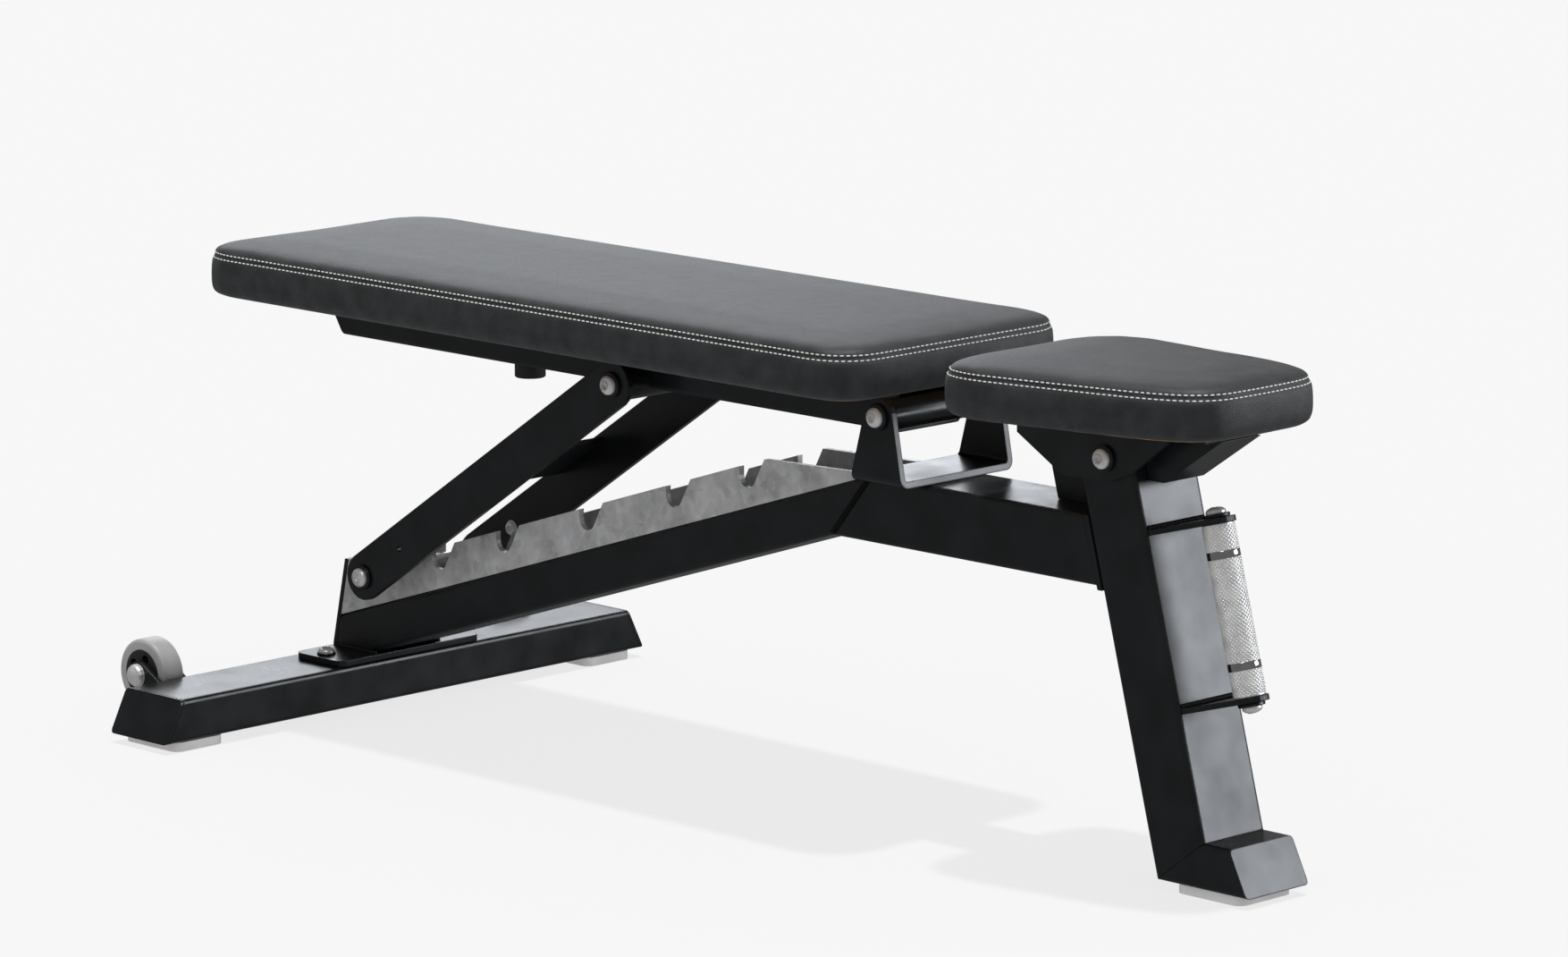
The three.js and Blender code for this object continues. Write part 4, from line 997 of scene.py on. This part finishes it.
@dataclass
class Hardware:
    """Bolts, rods, the knurled hand grip and the weld beads."""

    shelf: FinishShelf

    def bolt(self, node: str, face: Vector, direction: Vector, reach: float, size: ButtonBolt) -> None:
        """Builds one bolt that stands for its CAD node.

        Args:
            node: The CAD bolt.
            face: Point on the clamped face.
            direction: Outward direction.
            reach: Shank length behind the face.
            size: The bolt's sizes.
        """
        steel, washer = size.shells(axis_place(face, direction), reach)
        points, faces = join_shells([steel, washer])
        thing = piece_from(f"{node}_button", points, faces, 35)
        thing.data.materials.append(self.shelf[Finish.BRIGHT_STEEL])
        thing.data.materials.append(self.shelf[Finish.BLACK_COAT])
        for polygon in thing.data.polygons[len(steel[1]):]:
            polygon.material_index = 1
        finish_piece(thing, NODE_BODY[node], Finish.BRIGHT_STEEL, self.shelf, (node,))

    def side_bolts(self) -> None:
        """Builds the bolts that point out to both sides."""
        size = ButtonBolt()
        stand = size.washer_height + size.rise
        for stem in ("back_hinge_bolt", "seat_hinge_bolt", "strut_pivot_bolt", "strut_rod_bolt"):
            for label, side in (("left", 1), ("right", -1)):
                low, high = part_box(f"{stem}_{label}")
                outer = high.y if side > 0 else low.y
                face = Vector(((low.x + high.x) / 2, outer - side * stand, (low.z + high.z) / 2))
                reach = high.y - low.y - stand
                self.bolt(f"{stem}_{label}", face, Vector((0, side, 0)), reach, size)

    def flange_bolts(self) -> None:
        """Builds the two bolts that hold the rear flange."""
        size = ButtonBolt(
            head=0.008, rise=0.0049, washer=0.0089, washer_height=0.0014, shank=0.0038)
        stand = 0.0065
        for label in ("left", "right"):
            low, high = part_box(f"flange_bolt_{label}")
            face = Vector(((low.x + high.x) / 2, (low.y + high.y) / 2, high.z - stand))
            self.bolt(f"flange_bolt_{label}", face, Vector((0, 0, 1)), high.z - low.z - stand, size)

    def grip_axis(self) -> tuple[Vector, Vector, float]:
        """Gives the middle of the grip's lower end, its direction and its length."""
        low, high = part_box("handle_bar")
        rise, run = math.cos(POST_LEAN), math.sin(POST_LEAN)
        foot = Vector((high.x - GRIP_RADIUS * rise, 0, low.z + GRIP_RADIUS * run))
        length = (high.z - low.z - 2 * GRIP_RADIUS * run) / rise
        return foot, Vector((-run, 0, rise)), length

    def hand_grip(self, tree: DetailTree) -> None:
        """Builds the knurled grip with its two plain bands and its end bolts.

        Args:
            tree: The knurl tree.
        """
        foot, up, length = self.grip_axis()
        radius = GRIP_RADIUS
        band_place, band_half = 0.0262, 0.0034
        source = bpy.data.meshes.new("grip_start")
        knurled = Steel("knurled_steel", tone=0.88, roughness=0.4, edge=0.0001, metallic=0.5).make()
        grip = tree.run("knurled_hand_grip", source, knurled, {
            "Radius": radius - 0.0005, "Length": length, "Depth": 0.0005})
        grip.data.transform(axis_place(foot + up * length / 2, up))
        finish_piece(grip, "frame", Finish.BRIGHT_STEEL, self.shelf, ("handle_bar",))
        shells = []
        ring = [
            (round_ring(radius - 0.002), -band_half), (round_ring(radius - 0.0002), -band_half),
            (round_ring(radius), 0.0003 - band_half), (round_ring(radius), band_half - 0.0003),
            (round_ring(radius - 0.0002), band_half), (round_ring(radius - 0.002), band_half),
        ]
        for share in (band_place, length - band_place):
            shells.append(turned(ring, 96, axis_place(foot + up * share, up)))
        bands = piece_from("grip_plain_bands", *join_shells(shells), 35)
        polished = Steel("polished_band", tone=0.8, roughness=0.08, metallic=1.0).make()
        bands.data.materials.append(polished)
        finish_piece(bands, "frame", Finish.BRIGHT_STEEL, self.shelf)
        size = ButtonBolt()
        bracket, reach = 0.0056, 0.034
        for label, out in (("upper", 1), ("lower", -1)):
            start = foot + up * (length + bracket if out > 0 else -bracket)
            self.bolt(f"handle_bolt_{label}", start, up * out, reach, size)

    def rods(self) -> None:
        """Builds the round tubes and the ladder rod, smooth, with small end chamfers."""
        for node, finish in (("strut_rod", Finish.BRIGHT_STEEL), ("back_hinge_tube", Finish.BLACK_COAT),
                             ("strut_pivot_tube", Finish.BLACK_COAT)):
            low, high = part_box(node)
            radius = (high.z - low.z) / 2
            length = high.y - low.y
            edge = 0.0006
            rings = [(round_ring(radius - edge), 0.0), (round_ring(radius), edge),
                     (round_ring(radius), length - edge), (round_ring(radius - edge), length)]
            start = Vector(((low.x + high.x) / 2, low.y, (low.z + high.z) / 2))
            place = axis_place(start, Vector((0, 1, 0)))
            thing = piece_from(f"{node}_turned", *turned(rings, 72, place))
            finish_piece(thing, NODE_BODY[node], finish, self.shelf, (node,))

    def retaining_screw(self) -> None:
        """Builds the small screw on the inside of the left strut plate."""
        rod_low, rod_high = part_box("strut_rod")
        pivot_low, pivot_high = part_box("strut_pivot_tube")
        rod, pivot = (rod_low + rod_high) / 2, (pivot_low + pivot_high) / 2
        hole_along = 0.061
        spot = rod + (pivot - rod).normalized() * hole_along
        size = ButtonBolt(
            head=0.0062, rise=0.0036, washer=0.0075, washer_height=0.001, shank=0.0028,
            socket=0.0022, socket_depth=0.0018)
        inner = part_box("strut_plate_left")[0].y
        place = axis_place(Vector((spot.x, inner - 0.0001, spot.z)), Vector((0, -1, 0)))
        steel, washer = size.shells(place, 0.004)
        thing = piece_from("strut_retaining_screw", *join_shells([steel, washer]), 35)
        finish_piece(thing, "strut", Finish.BRIGHT_STEEL, self.shelf)

    def welds(self, tree: DetailTree) -> None:
        """Lays the rippled weld beads at the frame's joints.

        Args:
            tree: The bead tree.
        """
        post_low, post_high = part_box("front_post")
        half = post_high.y
        foot_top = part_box("front_foot")[1].z
        post_front = post_high.x - (foot_top - post_low.z) * math.tan(POST_LEAN)
        knee_low, knee_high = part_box("main_tube_front")[0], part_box("main_tube_rear")[1]
        flange_low, flange_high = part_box("flange_plate")
        plate_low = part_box("rear_end_plate")[0]
        edge = half - 0.004
        lines = [
            (post_front + 0.0008, foot_top + 0.0015),
            (knee_high.x, knee_high.z),
            (plate_low.x, flange_high.z),
        ]
        paths = [[Vector((x, -edge, z)), Vector((x, edge, z))] for x, z in lines]
        flange_end = flange_high.x - 0.006
        for side in (-1, 1):
            wall = side * (half + 0.0002)
            paths.append([Vector((knee_low.x + 0.003, wall, knee_low.z + 0.004)),
                          Vector((knee_high.x - 0.003, wall, knee_high.z - 0.004))])
            paths.append([Vector((plate_low.x + 0.004, wall, flange_high.z)),
                          Vector((flange_end, wall, flange_high.z))])
        foot, up, length = self.grip_axis()
        out = Vector((math.cos(POST_LEAN), 0, math.sin(POST_LEAN)))
        to_post, across = 0.0468, Vector((0, 0.034, 0))
        for lift in (0.0012, length + 0.0066):
            heel = foot + up * lift - out * to_post
            paths.append([heel - across, heel + across])
        # The beads are real welds, but their skin is darker and less reflective than the black coat:
        # painted shade for the shadow between the ripples.
        skin = Enamel("weld_skin_painted_shade", tone=0.003, lift=0.005, roughness=0.55,
                      skin_depth=0.0001, edge=0.0002, specular=0.2).make()
        thing = tree.run("weld_beads", path_mesh("weld_paths", paths), skin, {
            "Pitch": 0.0026, "Length": 0.0036, "Width": 0.0056})
        finish_piece(thing, "frame", Finish.BLACK_COAT, self.shelf)


@dataclass
class Wheels:
    """The two transport wheels' tyres, round and with soft shoulders."""

    shelf: FinishShelf
    steps: int = 96
    shoulder: float = 0.0035
    inner: float = 0.0232

    def build(self) -> None:
        """Builds both tyres as closed rings."""
        for label in ("left", "right"):
            low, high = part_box(f"wheel_tyre_{label}")
            radius, wide = (high.z - low.z) / 2, (high.y - low.y) / 2
            centre = (low + high) / 2
            profile = [(self.inner, -wide), (radius - self.shoulder, -wide)]
            for i in range(1, 6):
                angle = math.pi / 2 * i / 5
                profile.append((radius - self.shoulder + self.shoulder * math.sin(angle),
                                -wide + self.shoulder * (1 - math.cos(angle))))
            profile += [(r, -h) for r, h in reversed(profile)]
            place = axis_place(centre, Vector((0, 1, 0)))
            points, faces = [], []
            count = len(profile)
            for i in range(self.steps):
                angle = math.tau * i / self.steps
                across, up = math.cos(angle), math.sin(angle)
                points += [place @ Vector((r * across, r * up, h)) for r, h in profile]
            for i in range(self.steps):
                for k in range(count):
                    here, there = i * count, ((i + 1) % self.steps) * count
                    follow = (k + 1) % count
                    faces.append([here + k, here + follow, there + follow, there + k])
            thing = piece_from(f"tyre_{label}", points, faces, 50)
            tyre = f"wheel_tyre_{label}"
            finish_piece(thing, NODE_BODY[tyre], Finish.WHEEL_TREAD, self.shelf, (tyre,))


# ------------------------------------------------------------------------------------------
# Studio
# ------------------------------------------------------------------------------------------


@dataclass(frozen=True)
class SoftBox:
    """One rectangular studio light."""

    name: str
    place: tuple[float, float, float]
    aim: tuple[float, float, float]
    width: float
    height: float
    power: float
    diffuse: bool = True

    def build(self) -> None:
        """Adds the light."""
        data = bpy.data.lights.new(self.name, "AREA")
        data.shape = "RECTANGLE"
        data.size = self.width
        data.size_y = self.height
        data.energy = self.power
        data.color = (0.9, 0.94, 1.0)
        lamp = bpy.data.objects.new(self.name, data)
        bpy.context.collection.objects.link(lamp)
        lamp.location = self.place
        lamp.rotation_mode = "QUATERNION"
        lamp.rotation_quaternion = (Vector(self.aim) - Vector(self.place)).to_track_quat("-Z", "Y")
        lamp.visible_camera = False
        lamp.visible_diffuse = self.diffuse


@dataclass
class Studio:
    """Pale floor, soft light and the camera."""

    floor_tone: float = 0.1
    floor_glow: float = 0.78
    sky: float = 0.6
    mirrored_sky: float = 0.14
    sun: float = 2.9
    sun_width: float = math.radians(3.0)
    sun_heading: tuple[float, float, float] = (0.0, -0.012, -0.4)
    floor_half: float = 30.0
    camera_place: tuple[float, float, float] = (4.4006, -4.3913, 1.4640)
    heading: float = math.radians(44.87)
    dip: float = math.radians(10.77)
    lens: float = 162.0

    def build(self) -> None:
        """Builds the whole studio."""
        scene = bpy.context.scene
        scene.view_settings.view_transform = "Standard"
        world = bpy.data.worlds.new("studio_sky")
        world.use_nodes = True
        tree = world.node_tree
        sky = tree.nodes["Background"]
        sky.inputs["Color"].default_value = (1, 1, 1, 1)
        ray = tree.nodes.new("ShaderNodeLightPath")
        level = tree.nodes.new("ShaderNodeMapRange")
        level.inputs["To Min"].default_value = self.sky
        level.inputs["To Max"].default_value = self.mirrored_sky
        tree.links.new(ray.outputs["Is Glossy Ray"], level.inputs["Value"])
        tree.links.new(level.outputs["Result"], sky.inputs["Strength"])
        scene.world = world
        half = self.floor_half
        corners = [(-half, -half, 0), (half, -half, 0), (half, half, 0), (-half, half, 0)]
        floor = piece_from("studio_floor", corners, [(0, 1, 2, 3)])
        paper = Enamel("studio_paper", tone=self.floor_tone, lift=self.floor_tone * 1.01,
                       roughness=0.9, skin_scale=60.0, skin_depth=0.0001, edge=0.001, specular=0.0)
        floor.data.materials.append(paper.make())
        skin = floor.data.materials[0].node_tree.nodes["Principled BSDF"]
        skin.inputs["Emission Color"].default_value = (1, 1, 1, 1)
        skin.inputs["Emission Strength"].default_value = self.floor_glow
        floor.visible_glossy = False
        for light in (
            SoftBox("rear_panel", (-2.7, 2.1, 1.32), (-0.3, 0.0, 0.4), 1.7, 1.0, 25.0, False),
            SoftBox("front_panel", (2.7, 2.3, 0.95), (0.5, 0.0, 0.2), 1.6, 1.5, 64.0, False),
            SoftBox("high_key", (0.9, -1.5, 2.6), (0.0, 0.0, 0.3), 0.9, 0.9, 26.0, False),
        ):
            light.build()
        beam = bpy.data.lights.new("sun", "SUN")
        beam.energy = self.sun
        beam.angle = self.sun_width
        sun = bpy.data.objects.new("sun", beam)
        bpy.context.collection.objects.link(sun)
        sun.rotation_mode = "QUATERNION"
        sun.rotation_quaternion = Vector(self.sun_heading).to_track_quat("-Z", "Y")
        data = bpy.data.cameras.new("view")
        data.lens = self.lens
        data.sensor_width = 36.0
        data.clip_end = 200.0
        camera = bpy.data.objects.new("view", data)
        bpy.context.collection.objects.link(camera)
        camera.location = self.camera_place
        camera.rotation_euler = (math.pi / 2 - self.dip, 0.0, self.heading)
        scene.camera = camera


def main() -> None:
    """Builds the studio, dresses the frame and builds every piece in order."""
    Studio().build()
    shelf = FinishShelf()
    shelf.dress_frame()
    beads = bead_tree()
    seat_low, seat_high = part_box("seat_hinge_sleeve")
    pivot = ((seat_low.x + seat_high.x) / 2, (seat_low.z + seat_high.z) / 2)
    for cushion in (
        Cushion("back_cushion", "back_pad", "back", back_outline()),
        Cushion("seat_cushion", "seat_pad", "seat", seat_outline(), tilt=math.radians(1.0), pivot=pivot),
    ):
        cushion.build(beads, shelf)
    hardware = Hardware(shelf)
    hardware.side_bolts()
    hardware.flange_bolts()
    hardware.hand_grip(knurl_tree())
    hardware.rods()
    hardware.retaining_screw()
    hardware.welds(beads)
    Wheels(shelf).build()


if __name__ == "__main__":
    logging.basicConfig(level=logging.INFO, format="%(message)s")
    main()
